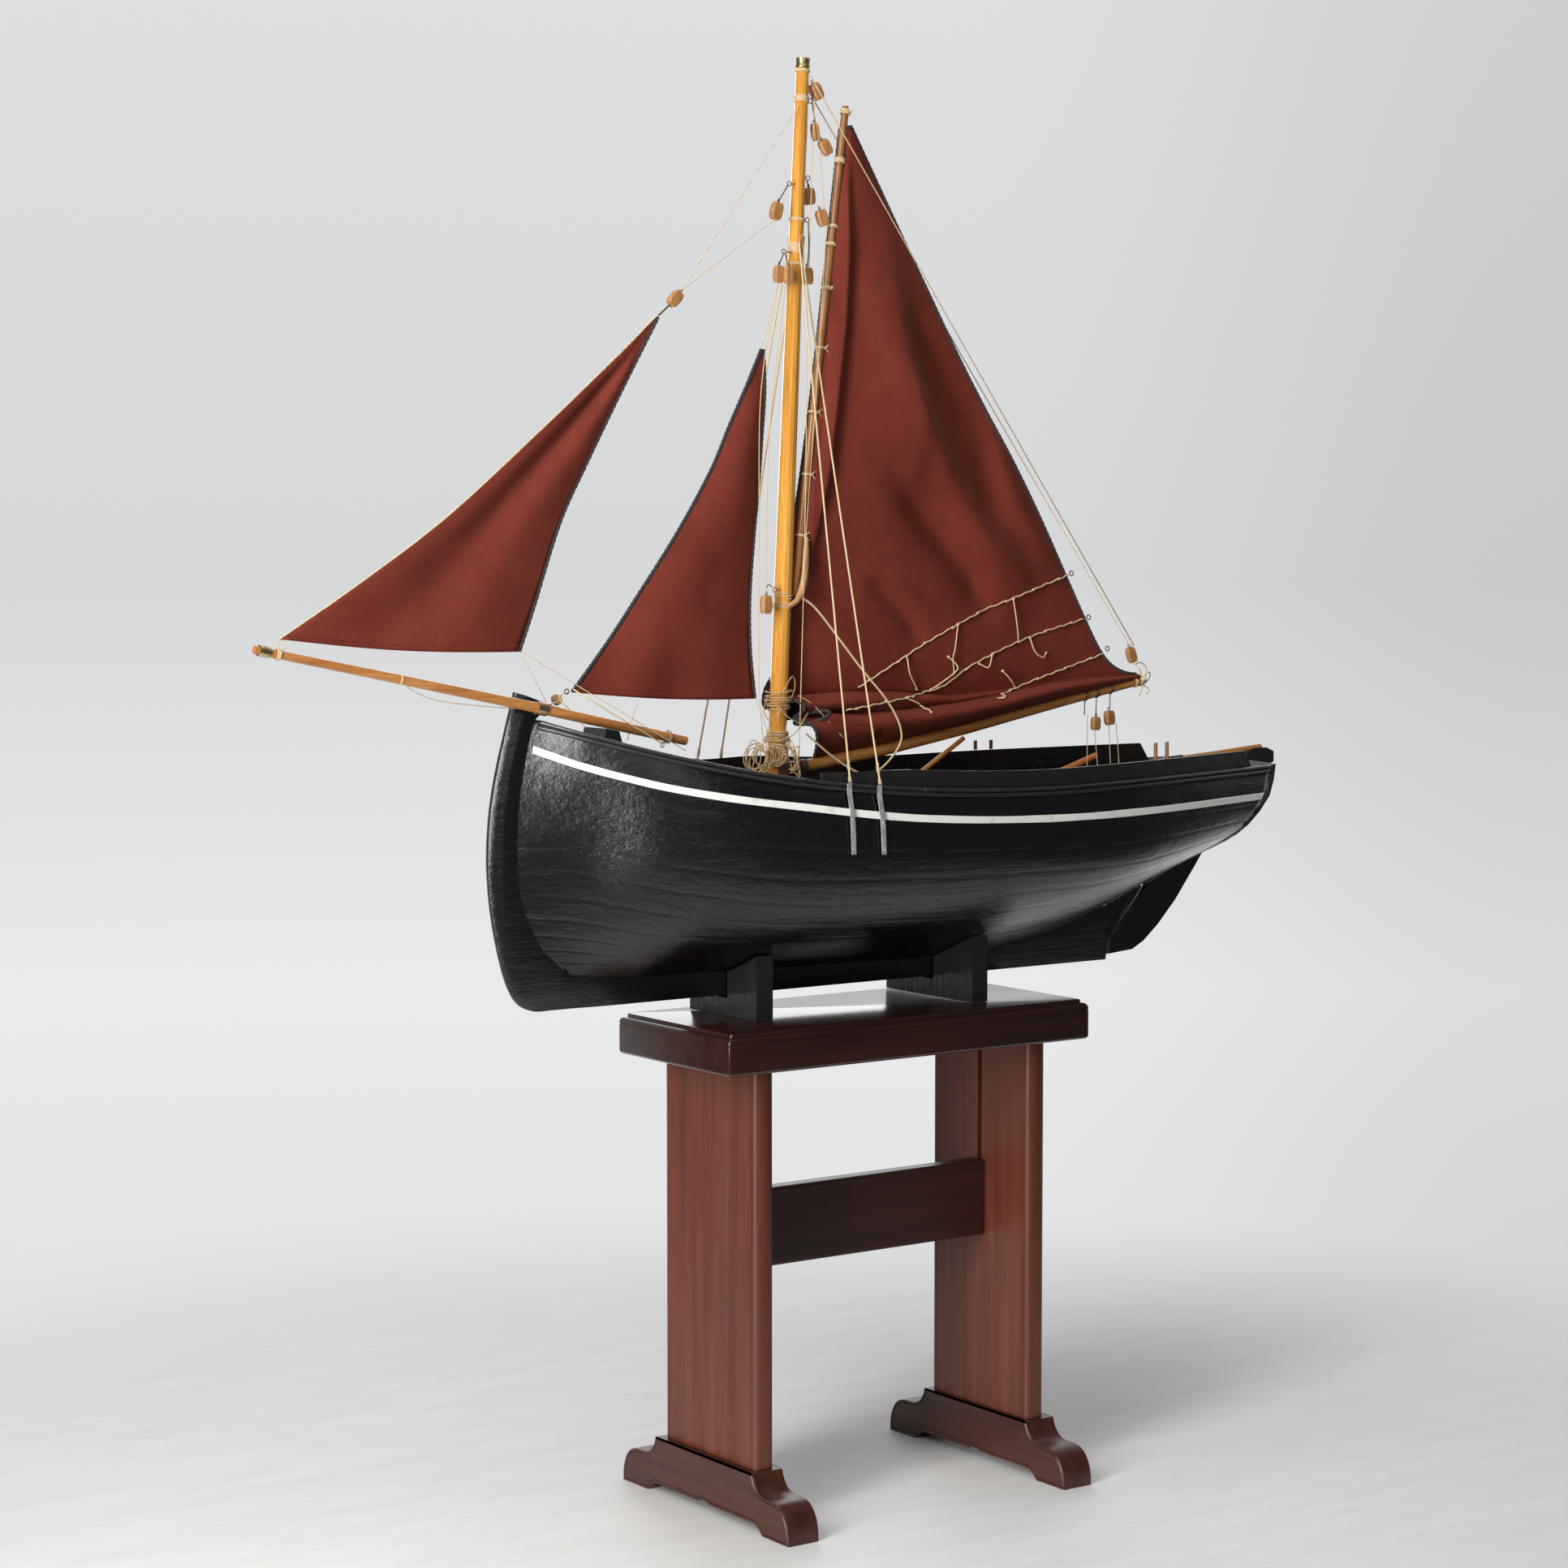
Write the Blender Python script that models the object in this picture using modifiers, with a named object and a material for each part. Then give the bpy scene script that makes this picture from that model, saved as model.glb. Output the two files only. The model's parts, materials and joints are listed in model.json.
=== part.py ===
"""Wooden gaff cutter with tan sails, standing in two cradles on a trestle stand.

Metres, +X to the bow, +Y to port, +Z up, the floor at z = 0. The origin is the middle of the
whole object's footprint. The stand and the boat each hang on an empty of their own.
"""

import math

import bmesh
import bpy
import numpy as np
from mathutils import Matrix, Vector

# --- where the stand and the boat are -------------------------------------------------------------
STAND_X = -0.0522  # the stand's middle, from the middle of the whole footprint
STAND_Y = 0.0164
BOAT_OFFSET_Y = -0.022  # the boat lies a little to starboard of the stand's middle

# --- the stand ------------------------------------------------------------------------------------
TOP_LENGTH = 0.493
TOP_WIDTH = 0.216
TOP_Z = 0.5396
TOP_THICKNESS = 0.0449
TOP_INSET = 0.0066
LEG_OUTER_X = 0.1995
LEG_THICKNESS = 0.025
LEG_WIDTH = 0.1765
FOOT_TOP_Z = 0.0636
FOOT_THICKNESS = 0.0385
FOOT_X = 0.18845
# half of the foot board's outline, from the middle of its underside to the middle of its top
FOOT_PROFILE = (
    (0.0050, 0.0125), (0.0110, 0.0105), (0.0990, 0.0105), (0.1060, 0.0060), (0.1120, 0.0),
    (0.1610, 0.0),
    (0.1612, 0.0100), (0.1590, 0.0200), (0.1550, 0.0285), (0.1490, 0.0355), (0.1405, 0.0400),
    (0.1300, 0.0415), (0.1180, 0.0418), (0.1085, 0.0440), (0.1015, 0.0495), (0.0970, 0.0565),
    (0.0950, 0.0618),
    (0.0940, FOOT_TOP_Z),
)
STRETCHER_HEIGHT = 0.087
STRETCHER_TOP_Z = 0.350
STRETCHER_THICKNESS = 0.022
CRADLE_THICKNESS = 0.0215
FORE_CRADLE_X = 0.1555
AFT_CRADLE_X = -0.128
FORE_CRADLE_HALF_WIDTH = 0.0645
AFT_CRADLE_HALF_WIDTH = 0.080
GAP = 0.0004  # clearance between neighbouring pieces

# --- the hull -------------------------------------------------------------------------------------
KEEL_HALF = 0.007
KEEL_BOTTOM_Z = 0.563
KEEL_AFT_X = -0.3755
PLANKING = 0.004
RAIL_PROUD = 0.004
RAIL_HEIGHT = 0.0095
COAMING_HEIGHT = 0.0185
COAMING_FORE_HEIGHT = 0.0075
COAMING_THICKNESS = 0.0035
COAMING_INSET = 0.0062  # from the planking's outside to the coaming
COAMING_FORE_X = 0.128
COAMING_AFT_X = -0.530
COAMING_TOP_AFT_X = -0.5125
DECK_THICKNESS = 0.003
STRIPE_HEIGHT = 0.0078
STRIPE_PROUD = 0.0012
STERN_RAKE = 0.9  # how far aft the transom leans for each metre of height
STERN_FOOT = (-0.4285, 0.644)  # x and z of the planking's aft end on the middle plane
RUDDER_FOOT = (-0.4335, 0.644)  # a point on the rudder's fore edge
RUDDER_RAKE = 0.967

# Half-breadth lines from keel to sheer. Each has one (x, y, z) at each of eight stations, from the
# stem to the transom; the six stations between share their x.
STATION_X = (0.365, 0.280, 0.160, 0.020, -0.140, -0.300)
HULL_LINES = (
    # rabbet along the keel
    ((0.372, 0.602), ((KEEL_HALF, 0.6000), (KEEL_HALF, 0.5915), (KEEL_HALF, 0.5895),
                      (KEEL_HALF, 0.5870), (KEEL_HALF, 0.5865), (KEEL_HALF, 0.6050)), (KEEL_HALF, 0.6500)),
    # garboard
    ((0.400, 0.627), ((0.0170, 0.6240), (0.0400, 0.6110), (0.0500, 0.6065), (0.0530, 0.6045),
                      (0.0520, 0.6060), (0.0400, 0.6215)), (0.0300, 0.6690)),
    # floor
    ((0.4185, 0.662), ((0.0280, 0.6550), (0.0680, 0.6390), (0.0920, 0.6285), (0.1020, 0.6265),
                       (0.1010, 0.6285), (0.0850, 0.6430)), (0.0600, 0.6870)),
    # bilge
    ((0.4285, 0.706), ((0.0385, 0.7010), (0.0890, 0.6820), (0.1270, 0.6660), (0.1460, 0.6620),
                       (0.1460, 0.6640), (0.1290, 0.6710)), (0.0890, 0.7030)),
    # greatest beam
    ((0.4290, 0.756), ((0.0465, 0.7520), (0.1030, 0.7310), (0.1415, 0.7150), (0.1660, 0.7100),
                       (0.1700, 0.7065), (0.1570, 0.7060)), (0.1090, 0.7230)),
    # stripe
    ((0.4165, 0.8415), ((0.0510, 0.8195), (0.1060, 0.7955), (0.1400, 0.7765), (0.1630, 0.7595),
                        (0.1675, 0.7515), (0.1570, 0.7517)), (0.1130, 0.7570)),
    # sheer
    ((0.4050, 0.8710), ((0.0485, 0.8560), (0.0970, 0.8315), (0.1300, 0.8075), (0.1530, 0.7925),
                        (0.1570, 0.7858), (0.1460, 0.7877)), (0.0900, 0.7915)),
)
LAST_STATION = 7.0
STATION_STEPS = np.linspace(0, LAST_STATION, 36)
STRIPE_LINE = 5
SHEER_LINE = 6

# --- spars and rig (x, z in the boat's middle plane) ----------------------------------------------
MAST_HEEL_Z = 0.5985
MAST_HEAD_Z = 1.5687
MAST_X_AT_DECK = 0.0954
MAST_DECK_Z = 0.7997
MAST_RAKE = -0.04655
BOWSPRIT_Y = 0.0170
HOUNDS_Z = 1.388
FORE_SHROUD_X = 0.1023
AFT_SHROUD_X = 0.0668
CHAINPLATE_AHEAD = 0.003


def mast_x(z):
    return MAST_X_AT_DECK + MAST_RAKE * (z - MAST_DECK_Z)


# --- colours --------------------------------------------------------------------------------------
MAHOGANY = (0.115, 0.034, 0.020)
DARK_MAHOGANY = (0.045, 0.018, 0.013)
BLACK_PAINT = (0.010, 0.011, 0.012)
WHITE_PAINT = (0.80, 0.79, 0.74)
PINE = (0.73, 0.37, 0.10)
ORANGE_PINE = (0.55, 0.22, 0.06)
BAMBOO = (0.50, 0.27, 0.11)
OAK = (0.32, 0.17, 0.07)
DARK_WOOD = (0.06, 0.035, 0.020)
PALE_WOOD = (0.55, 0.33, 0.16)
TAN_CLOTH = (0.19, 0.035, 0.024)
CORD = (0.62, 0.50, 0.33)
BRASS = (0.70, 0.52, 0.22)
STEEL = (0.55, 0.56, 0.57)
GREY_PLASTIC = (0.04, 0.04, 0.045)
NYLON = (0.75, 0.75, 0.72)
BLUE_WRAP = (0.03, 0.08, 0.24)


# --- helpers --------------------------------------------------------------------------------------
def clear_scene():
    for item in list(bpy.data.objects):
        bpy.data.objects.remove(item, do_unlink=True)


def make_collection(name, hidden=False):
    collection = bpy.data.collections.new(name)
    bpy.context.scene.collection.children.link(collection)
    collection.hide_render = hidden
    return collection


def make_empty(name, location):
    empty = bpy.data.objects.new(name, None)
    empty.location = location
    PARTS.objects.link(empty)
    return empty


def make_material(name, colour, roughness, metallic=0.0):
    material = bpy.data.materials.new(name)
    material.use_nodes = True
    shader = material.node_tree.nodes["Principled BSDF"]
    shader.inputs["Base Color"].default_value = (*colour, 1.0)
    shader.inputs["Roughness"].default_value = roughness
    shader.inputs["Metallic"].default_value = metallic
    return material


def place(name, data, parent, look):
    """Puts a mesh or a curve in the scene as one part, with its own material."""
    colour, roughness, metallic = look
    item = bpy.data.objects.new(name, data)
    data.materials.append(make_material(name + "_material", colour, roughness, metallic))
    item.parent = parent
    PARTS.objects.link(item)
    return item


def mesh_of(name, bm):
    bmesh.ops.recalc_face_normals(bm, faces=bm.faces)
    mesh = bpy.data.meshes.new(name)
    bm.to_mesh(mesh)
    bm.free()
    mesh.shade_smooth()
    mesh.set_sharp_from_angle(angle=math.radians(35))
    return mesh


def loft(name, sections, parent, look):
    """A closed solid through a row of closed sections with the same number of points."""
    bm = bmesh.new()
    rings = [[bm.verts.new(point) for point in section] for section in sections]
    count = len(rings[0])
    for first, second in zip(rings, rings[1:]):
        for i in range(count):
            j = (i + 1) % count
            bm.faces.new((first[i], first[j], second[j], second[i]))
    bm.faces.new(list(reversed(rings[0])))
    bm.faces.new(rings[-1])
    return place(name, mesh_of(name, bm), parent, look)


def box(name, centre, size, parent, look, bevel=0.0):
    bm = bmesh.new()
    bmesh.ops.create_cube(bm, size=1.0, matrix=Matrix.Diagonal((*size, 1.0)))
    item = place(name, mesh_of(name, bm), parent, look)
    item.location = centre
    if bevel:
        add_bevel(item, bevel)
    return item


def add_bevel(item, width, segments=2):
    bevel = item.modifiers.new("Rounded edges", "BEVEL")
    bevel.width = width
    bevel.segments = segments
    bevel.limit_method = "ANGLE"
    return bevel


def cylinder(name, start, end, radius, parent, look, sides=16):
    """A plain round bar between two points."""
    start, end = Vector(start), Vector(end)
    bm = bmesh.new()
    length = (end - start).length
    bmesh.ops.create_cone(bm, cap_ends=True, segments=sides, radius1=radius, radius2=radius, depth=length)
    item = place(name, mesh_of(name, bm), parent, look)
    item.location = (start + end) / 2
    item.rotation_euler = (end - start).to_track_quat("Z", "Y").to_euler()
    return item


def spar(name, points, parent, look, resolution=4):
    """A round tapering spar or rope through (x, y, z, radius) points."""
    curve = bpy.data.curves.new(name, "CURVE")
    curve.dimensions = "3D"
    curve.bevel_depth = 0.001
    curve.bevel_resolution = resolution
    curve.use_fill_caps = True
    spline = curve.splines.new("POLY")
    spline.points.add(len(points) - 1)
    for spline_point, (x, y, z, radius) in zip(spline.points, points):
        spline_point.co = (x, y, z, 1.0)
        spline_point.radius = radius / 0.001
    return place(name, curve, parent, look)


def outline(name, points, thickness, parent, look):
    """A flat board: points in its own X-Y plane, extruded to both sides along its Z."""
    curve = bpy.data.curves.new(name, "CURVE")
    curve.dimensions = "2D"
    curve.fill_mode = "BOTH"
    curve.extrude = thickness / 2
    spline = curve.splines.new("POLY")
    spline.points.add(len(points) - 1)
    for spline_point, (x, y) in zip(spline.points, points):
        spline_point.co = (x, y, 0.0, 1.0)
    spline.use_cyclic_u = True
    return place(name, curve, parent, look)


def tube_ring(name, centre, axis, inner, outer, length, parent, look, sides=20):
    """A band: a turned ring with a rectangular section around an axis."""
    bm = bmesh.new()
    corners = ((outer, length / 2), (outer, -length / 2), (inner, -length / 2), (inner, length / 2))
    rings = []
    for i in range(sides):
        angle = 2 * math.pi * i / sides
        cosine, sine = math.cos(angle), math.sin(angle)
        rings.append([bm.verts.new((r * cosine, r * sine, h)) for r, h in corners])
    for first, second in zip(rings, rings[1:] + rings[:1]):
        for i in range(4):
            j = (i + 1) % 4
            bm.faces.new((first[i], first[j], second[j], second[i]))
    item = place(name, mesh_of(name, bm), parent, look)
    item.location = centre
    item.rotation_euler = Vector(axis).to_track_quat("Z", "Y").to_euler()
    return item


def cut(target, cutter):
    cutter.hide_render = True
    cutter.display_type = "WIRE"
    PARTS.objects.unlink(cutter)
    CUTTERS.objects.link(cutter)
    boolean = target.modifiers.new("Cut", "BOOLEAN")
    boolean.operation = "DIFFERENCE"
    boolean.object = cutter


def spline_at(points, t):
    """Catmull-Rom through the points; t counts points from 0."""
    last = len(points) - 1
    i = min(int(t), last - 1)
    local = t - i
    before = points[i - 1] if i > 0 else 2 * points[0] - points[1]
    after = points[i + 2] if i + 2 <= last else 2 * points[last] - points[last - 1]
    a, b = points[i], points[i + 1]
    return 0.5 * (
        2 * a
        + (b - before) * local
        + (2 * before - 5 * a + 4 * b - after) * local**2
        + (3 * a - before - 3 * b + after) * local**3
    )


def rounded(points, steps=4):
    """A smooth path through the points, with steps between each pair."""
    points = [Vector(point) for point in points]
    count = (len(points) - 1) * steps
    return [spline_at(points, i / steps) for i in range(count + 1)]


# --- hull shape -----------------------------------------------------------------------------------
def hull_grid():
    lines = []
    for (stem_x, stem_z), middle, (stern_y, stern_z) in HULL_LINES:
        line = [Vector((stem_x, KEEL_HALF, stem_z))]
        line += [Vector((x, y, z)) for x, (y, z) in zip(STATION_X, middle)]
        line.append(Vector((transom_x(stern_z), stern_y, stern_z)))
        lines.append(line)
    return lines


def transom_x(z):
    return STERN_FOOT[0] - STERN_RAKE * (z - STERN_FOOT[1])


def hull_point(station, line):
    """A point on the port side: station 0 to 7 from stem to transom, line 0 to 6 from keel to sheer."""
    row = [spline_at(hull_line, station) for hull_line in HULL]
    return spline_at(row, line)


def station_at(x, line=SHEER_LINE):
    """The station whose point on a line lies at this x."""
    low, high = 0.0, LAST_STATION
    for _ in range(40):
        middle = (low + high) / 2
        if hull_point(middle, line).x > x:
            low = middle
        else:
            high = middle
    return (low + high) / 2


def grid_between(first, last):
    """The hull's own stations between two, so that a strip's straight runs match the planking's."""
    inside = [float(station) for station in STATION_STEPS if first + 0.01 < station < last - 0.01]
    return [first, *inside, last]


def skin_point(station, z):
    """The port side's outside at this station and height, between the bilge and the sheer."""
    low, high = 3.5, float(SHEER_LINE)
    for _ in range(30):
        middle = (low + high) / 2
        if hull_point(station, middle).z < z:
            low = middle
        else:
            high = middle
    return hull_point(station, (low + high) / 2)


def stations(first_x, last_x, count, line=SHEER_LINE):
    return np.linspace(station_at(first_x, line), station_at(last_x, line), count)


def mirrored(point, side):
    return Vector((point.x, side * point.y, point.z))


def make_hull_shell():
    bm = bmesh.new()
    line_steps = np.linspace(0, SHEER_LINE, 15)
    top_drop = Vector((0, 0, -0.0006))
    rows = []
    for station in STATION_STEPS:
        side = [hull_point(station, line) for line in line_steps]
        side[-1] = side[-1] + top_drop
        whole = [mirrored(point, 1) for point in reversed(side)] + [mirrored(point, -1) for point in side]
        rows.append([bm.verts.new(point) for point in whole])
    for first, second in zip(rows, rows[1:]):
        for i in range(len(first) - 1):
            bm.faces.new((first[i], second[i], second[i + 1], first[i + 1]))
    middle = len(rows[0]) // 2
    for i in range(middle - 1):
        bm.faces.new((rows[0][i], rows[0][i + 1], rows[0][-2 - i], rows[0][-1 - i]))
    shell = place("hull_shell", mesh_of("hull_shell", bm), BOAT, (BLACK_PAINT, 0.25, 0.0))
    solidify = shell.modifiers.new("Planking", "SOLIDIFY")
    solidify.thickness = PLANKING
    solidify.offset = -1.0
    return shell


def blade(name, fore_edge, aft_edge, half, nose, shoulder, parent, look):
    """A plate in the middle plane through pairs of edge points; the fore edge narrows to the nose."""
    sections = []
    for (fx, fz), (ax, az) in zip(fore_edge, aft_edge):
        fore, aft = Vector((fx, 0, fz)), Vector((ax, 0, az))
        step = (aft - fore).normalized() * shoulder
        across = Vector((0, 1, 0))
        neck = fore + step
        sections.append((fore + across * nose, neck + across * half, aft + across * half,
                         aft - across * half, neck - across * half, fore - across * nose))
    return loft(name, sections, parent, look)


def make_backbone():
    look = (BLACK_PAINT, 0.3, 0.0)
    stem_front = ((0.4285, 0.8994), (0.4395, 0.8600), (0.4506, 0.8182), (0.4586, 0.7764), (0.4619, 0.7343),
                  (0.4611, 0.7004), (0.4570, 0.6640), (0.4500, 0.6290), (0.4400, 0.5950), (0.4270, 0.5730),
                  (0.4080, 0.5636), (0.3860, KEEL_BOTTOM_Z))
    stem_back = ((0.3790, 0.8820), (0.4078, 0.8720), (0.4205, 0.8390), (0.4285, 0.7970), (0.4322, 0.7560),
                 (0.4322, 0.7060), (0.4240, 0.6660), (0.4150, 0.6440), (0.4040, 0.6255), (0.3935, 0.6150),
                 (0.3840, 0.6060), (0.3745, 0.6000))
    blade("stem", stem_front, stem_back, KEEL_HALF, 0.0028, 0.009, BOAT, look)
    keel_top = [(0.3735, 0.5990), (0.365, 0.5968)]
    for station in grid_between(1.2, 6.4):
        point = hull_point(station, 0)
        keel_top.append((point.x, point.z - 0.0006))
    keel_bottom = [(x, KEEL_BOTTOM_Z) for x, z in keel_top]
    sections = [
        (Vector((x, KEEL_HALF, low)), Vector((x, KEEL_HALF, top)),
         Vector((x, -KEEL_HALF, top)), Vector((x, -KEEL_HALF, low)))
        for (x, low), (x2, top) in zip(keel_bottom, keel_top)
    ]
    loft("keel", sections, BOAT, look)
    start_x = keel_top[-1][0] - GAP
    upper = []
    for station in (station_at(start_x, 0), 6.6, 6.8, 6.88, 6.94, 6.98):
        point = hull_point(station, 0)
        upper.append((point.x, point.z - 0.0007))
    lower = [(start_x, KEEL_BOTTOM_Z), (start_x - 0.015, KEEL_BOTTOM_Z), (KEEL_AFT_X, KEEL_BOTTOM_Z),
             (KEEL_AFT_X - 0.0005, 0.5845), (-0.3960, 0.6056), (-0.4270, 0.6372)]
    sections = [
        (Vector((a, KEEL_HALF, b)), Vector((c, KEEL_HALF, d)),
         Vector((c, -KEEL_HALF, d)), Vector((a, -KEEL_HALF, b)))
        for (a, b), (c, d) in zip(lower, upper)
    ]
    loft("sternpost", sections, BOAT, look)


def make_transom():
    thickness = Vector((-0.0045, 0, 0))
    gap = Vector((-0.0018, 0, 0))
    edge = [hull_point(LAST_STATION, line) + gap for line in np.linspace(0, SHEER_LINE, 13)]
    crown = Vector((transom_x(0.7950), 0, 0.7950)) + gap
    outline_points = [mirrored(point, 1) for point in edge] + [crown]
    outline_points += [mirrored(point, -1) for point in reversed(edge)]
    loft("transom", [outline_points, [point + thickness for point in outline_points]], BOAT,
         (BLACK_PAINT, 0.3, 0.0))


def strip_section(station, line, side, spans):
    """Corners of a strip against the planking: each span is (beyond the skin, above the line)."""
    point = hull_point(station, line)
    section = []
    for across, up in spans:
        skin = skin_point(station, point.z + up)
        section.append(mirrored(Vector((skin.x, skin.y + across, point.z + up)), side))
    return section


def hull_strip(name, side, first, last, line, low, high, inner, outer, look):
    """A strip along a hull line, from low to high above it, from inner to outer beyond the skin."""
    spans = ((inner, low), (outer, low), (outer, high), (inner, high))
    sections = [strip_section(station, line, side, spans) for station in grid_between(first, last)]
    return loft(name, sections, BOAT, look)


def coaming_height(x):
    """The coaming rises from its fore end to its full height."""
    return float(np.interp(x, (0.030, COAMING_FORE_X), (COAMING_HEIGHT, COAMING_FORE_HEIGHT)))


def make_coaming(name, side):
    inner = -COAMING_INSET - COAMING_THICKNESS
    outer = -COAMING_INSET
    sections = []
    for station in grid_between(station_at(COAMING_FORE_X), station_at(COAMING_TOP_AFT_X)):
        high = coaming_height(hull_point(station, SHEER_LINE).x)
        spans = ((inner, -0.004), (outer, -0.004), (outer, high), (inner, high))
        sections.append(strip_section(station, SHEER_LINE, side, spans))
    foot = strip_section(station_at(COAMING_AFT_X), SHEER_LINE, side, spans[:2])
    sections.append(foot + [corner + Vector((-0.0005, 0, 0)) for corner in sections[-1][2:]])
    return loft(name, sections, BOAT, (BLACK_PAINT, 0.3, 0.0))


def make_trim():
    for side, word in ((1, "port"), (-1, "starboard")):
        hull_strip(word + "_rail", side, 0.05, 6.98, SHEER_LINE, -RAIL_HEIGHT, 0.0,
                   0.0006, RAIL_PROUD, (BLACK_PAINT, 0.2, 0.0))
        hull_strip(word + "_stripe", side, 0.08, 6.97, STRIPE_LINE, -STRIPE_HEIGHT / 2, STRIPE_HEIGHT / 2,
                   0.0006, 0.0006 + STRIPE_PROUD, (WHITE_PAINT, 0.35, 0.0))
        make_coaming(word + "_coaming", side)


def deck(name, first_x, last_x, count, inset, drop, crown, look):
    sections = []
    for station in stations(first_x, last_x, count):
        point = hull_point(station, SHEER_LINE)
        y = point.y - inset
        top = point.z - drop
        low = top - DECK_THICKNESS
        sections.append((
            Vector((point.x, y, top)), Vector((point.x, 0, top + crown)), Vector((point.x, -y, top)),
            Vector((point.x, -y, low)), Vector((point.x, 0, low + crown)), Vector((point.x, y, low)),
        ))
    return loft(name, sections, BOAT, look)


def make_decks():
    look = (BLACK_PAINT, 0.22, 0.0)
    foredeck = deck("foredeck", 0.3780, 0.052, 13, 0.0100, 0.0045, 0.003, look)
    hole_top = Vector((mast_x(0.84), 0, 0.84))
    hole_low = Vector((mast_x(0.76), 0, 0.76))
    cutter = cylinder("mast_hole", hole_low, hole_top, 0.0112, BOAT, look, sides=24)
    cut(foredeck, cutter)
    deck("aft_deck", -0.312, -0.535, 9, 0.0100, 0.0095, 0.001, look)
    floor_z = 0.694
    sections = []
    for station in stations(0.050, -0.300, 8):
        half = 0.112 - 0.25 * abs(hull_point(station, SHEER_LINE).x + 0.12) ** 1.5
        x = hull_point(station, SHEER_LINE).x
        sections.append((Vector((x, half, floor_z)), Vector((x, -half, floor_z)),
                         Vector((x, -half, floor_z - 0.003)), Vector((x, half, floor_z - 0.003))))
    loft("hold_floor", sections, BOAT, (OAK, 0.6, 0.0))


def hull_height(x, y):
    """Height of the hull's outside at this x and half-breadth, below the bilge."""
    station = station_at(x, 2)
    low, high = 0.0, 3.0
    for _ in range(40):
        middle = (low + high) / 2
        if hull_point(station, middle).y < y:
            low = middle
        else:
            high = middle
    return hull_point(station, (low + high) / 2).z


def make_cradle(name, x, half_width):
    board_look = (BLACK_PAINT, 0.45, 0.0)
    clearance = 0.0012
    notch = KEEL_HALF + 0.0015
    edge = []
    for y in np.linspace(notch, half_width, 8):
        height = min(hull_height(x - CRADLE_THICKNESS / 2, y), hull_height(x + CRADLE_THICKNESS / 2, y))
        edge.append((y, height - clearance))
    notch_z = KEEL_BOTTOM_Z - 0.0035
    base = TOP_Z + GAP
    right = [(half_width, base)] + list(reversed(edge)) + [(notch, notch_z)]
    left = [(-y, z) for y, z in reversed(right)]
    board = outline(name, right + left, CRADLE_THICKNESS, STAND, board_look)
    board.location = (x, BOAT_OFFSET_Y, 0)
    board.rotation_euler = (math.pi / 2, 0, math.pi / 2)


# --- stand ----------------------------------------------------------------------------------------
def layered_block(name, layers, parent, look):
    """A block whose rectangular plan changes with height: (z, half length, half width)."""
    sections = []
    for z, half_x, half_y in layers:
        sections.append((Vector((half_x, half_y, z)), Vector((-half_x, half_y, z)),
                         Vector((-half_x, -half_y, z)), Vector((half_x, -half_y, z))))
    return loft(name, sections, parent, look)


def make_stand():
    half_l, half_w = TOP_LENGTH / 2, TOP_WIDTH / 2
    low = TOP_Z - TOP_THICKNESS
    round_edge = 0.004
    layers = (
        (low, half_l - round_edge, half_w - round_edge),
        (low + round_edge, half_l, half_w),
        (TOP_Z - 0.0085, half_l, half_w),
        (TOP_Z - 0.0045, half_l - 0.0022, half_w - 0.0022),
        (TOP_Z - 0.0040, half_l - TOP_INSET, half_w - TOP_INSET),
        (TOP_Z, half_l - TOP_INSET, half_w - TOP_INSET),
    )
    layered_block("stand_top", layers, STAND, (DARK_MAHOGANY, 0.25, 0.0))
    for sign, word in ((1, "fore"), (-1, "aft")):
        make_leg(word, sign)
        make_foot(word, sign)
    length = 2 * (LEG_OUTER_X - LEG_THICKNESS) - 2 * GAP
    box("stretcher", (0, 0, STRETCHER_TOP_Z - STRETCHER_HEIGHT / 2),
        (length, STRETCHER_THICKNESS, STRETCHER_HEIGHT), STAND, (MAHOGANY, 0.35, 0.0), bevel=0.003)
    make_cradle("fore_cradle", FORE_CRADLE_X, FORE_CRADLE_HALF_WIDTH)
    make_cradle("aft_cradle", AFT_CRADLE_X, AFT_CRADLE_HALF_WIDTH)


def make_leg(word, sign):
    top = TOP_Z - TOP_THICKNESS - GAP
    low = FOOT_TOP_Z + GAP
    board = box(word + "_leg", (sign * (LEG_OUTER_X - LEG_THICKNESS / 2), 0, (top + low) / 2),
                (LEG_THICKNESS, LEG_WIDTH, top - low), STAND, (MAHOGANY, 0.35, 0.0))
    add_bevel(board, 0.005, segments=3)


def make_foot(word, sign):
    """A foot board with ogee ends, standing on two pads."""
    right = list(FOOT_PROFILE)
    left = [(-y, z) for y, z in reversed(right)]
    board = outline(word + "_foot", right + left, FOOT_THICKNESS, STAND, (MAHOGANY, 0.35, 0.0))
    board.location = (sign * FOOT_X, 0, 0)
    board.rotation_euler = (math.pi / 2, 0, math.pi / 2)


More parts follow.
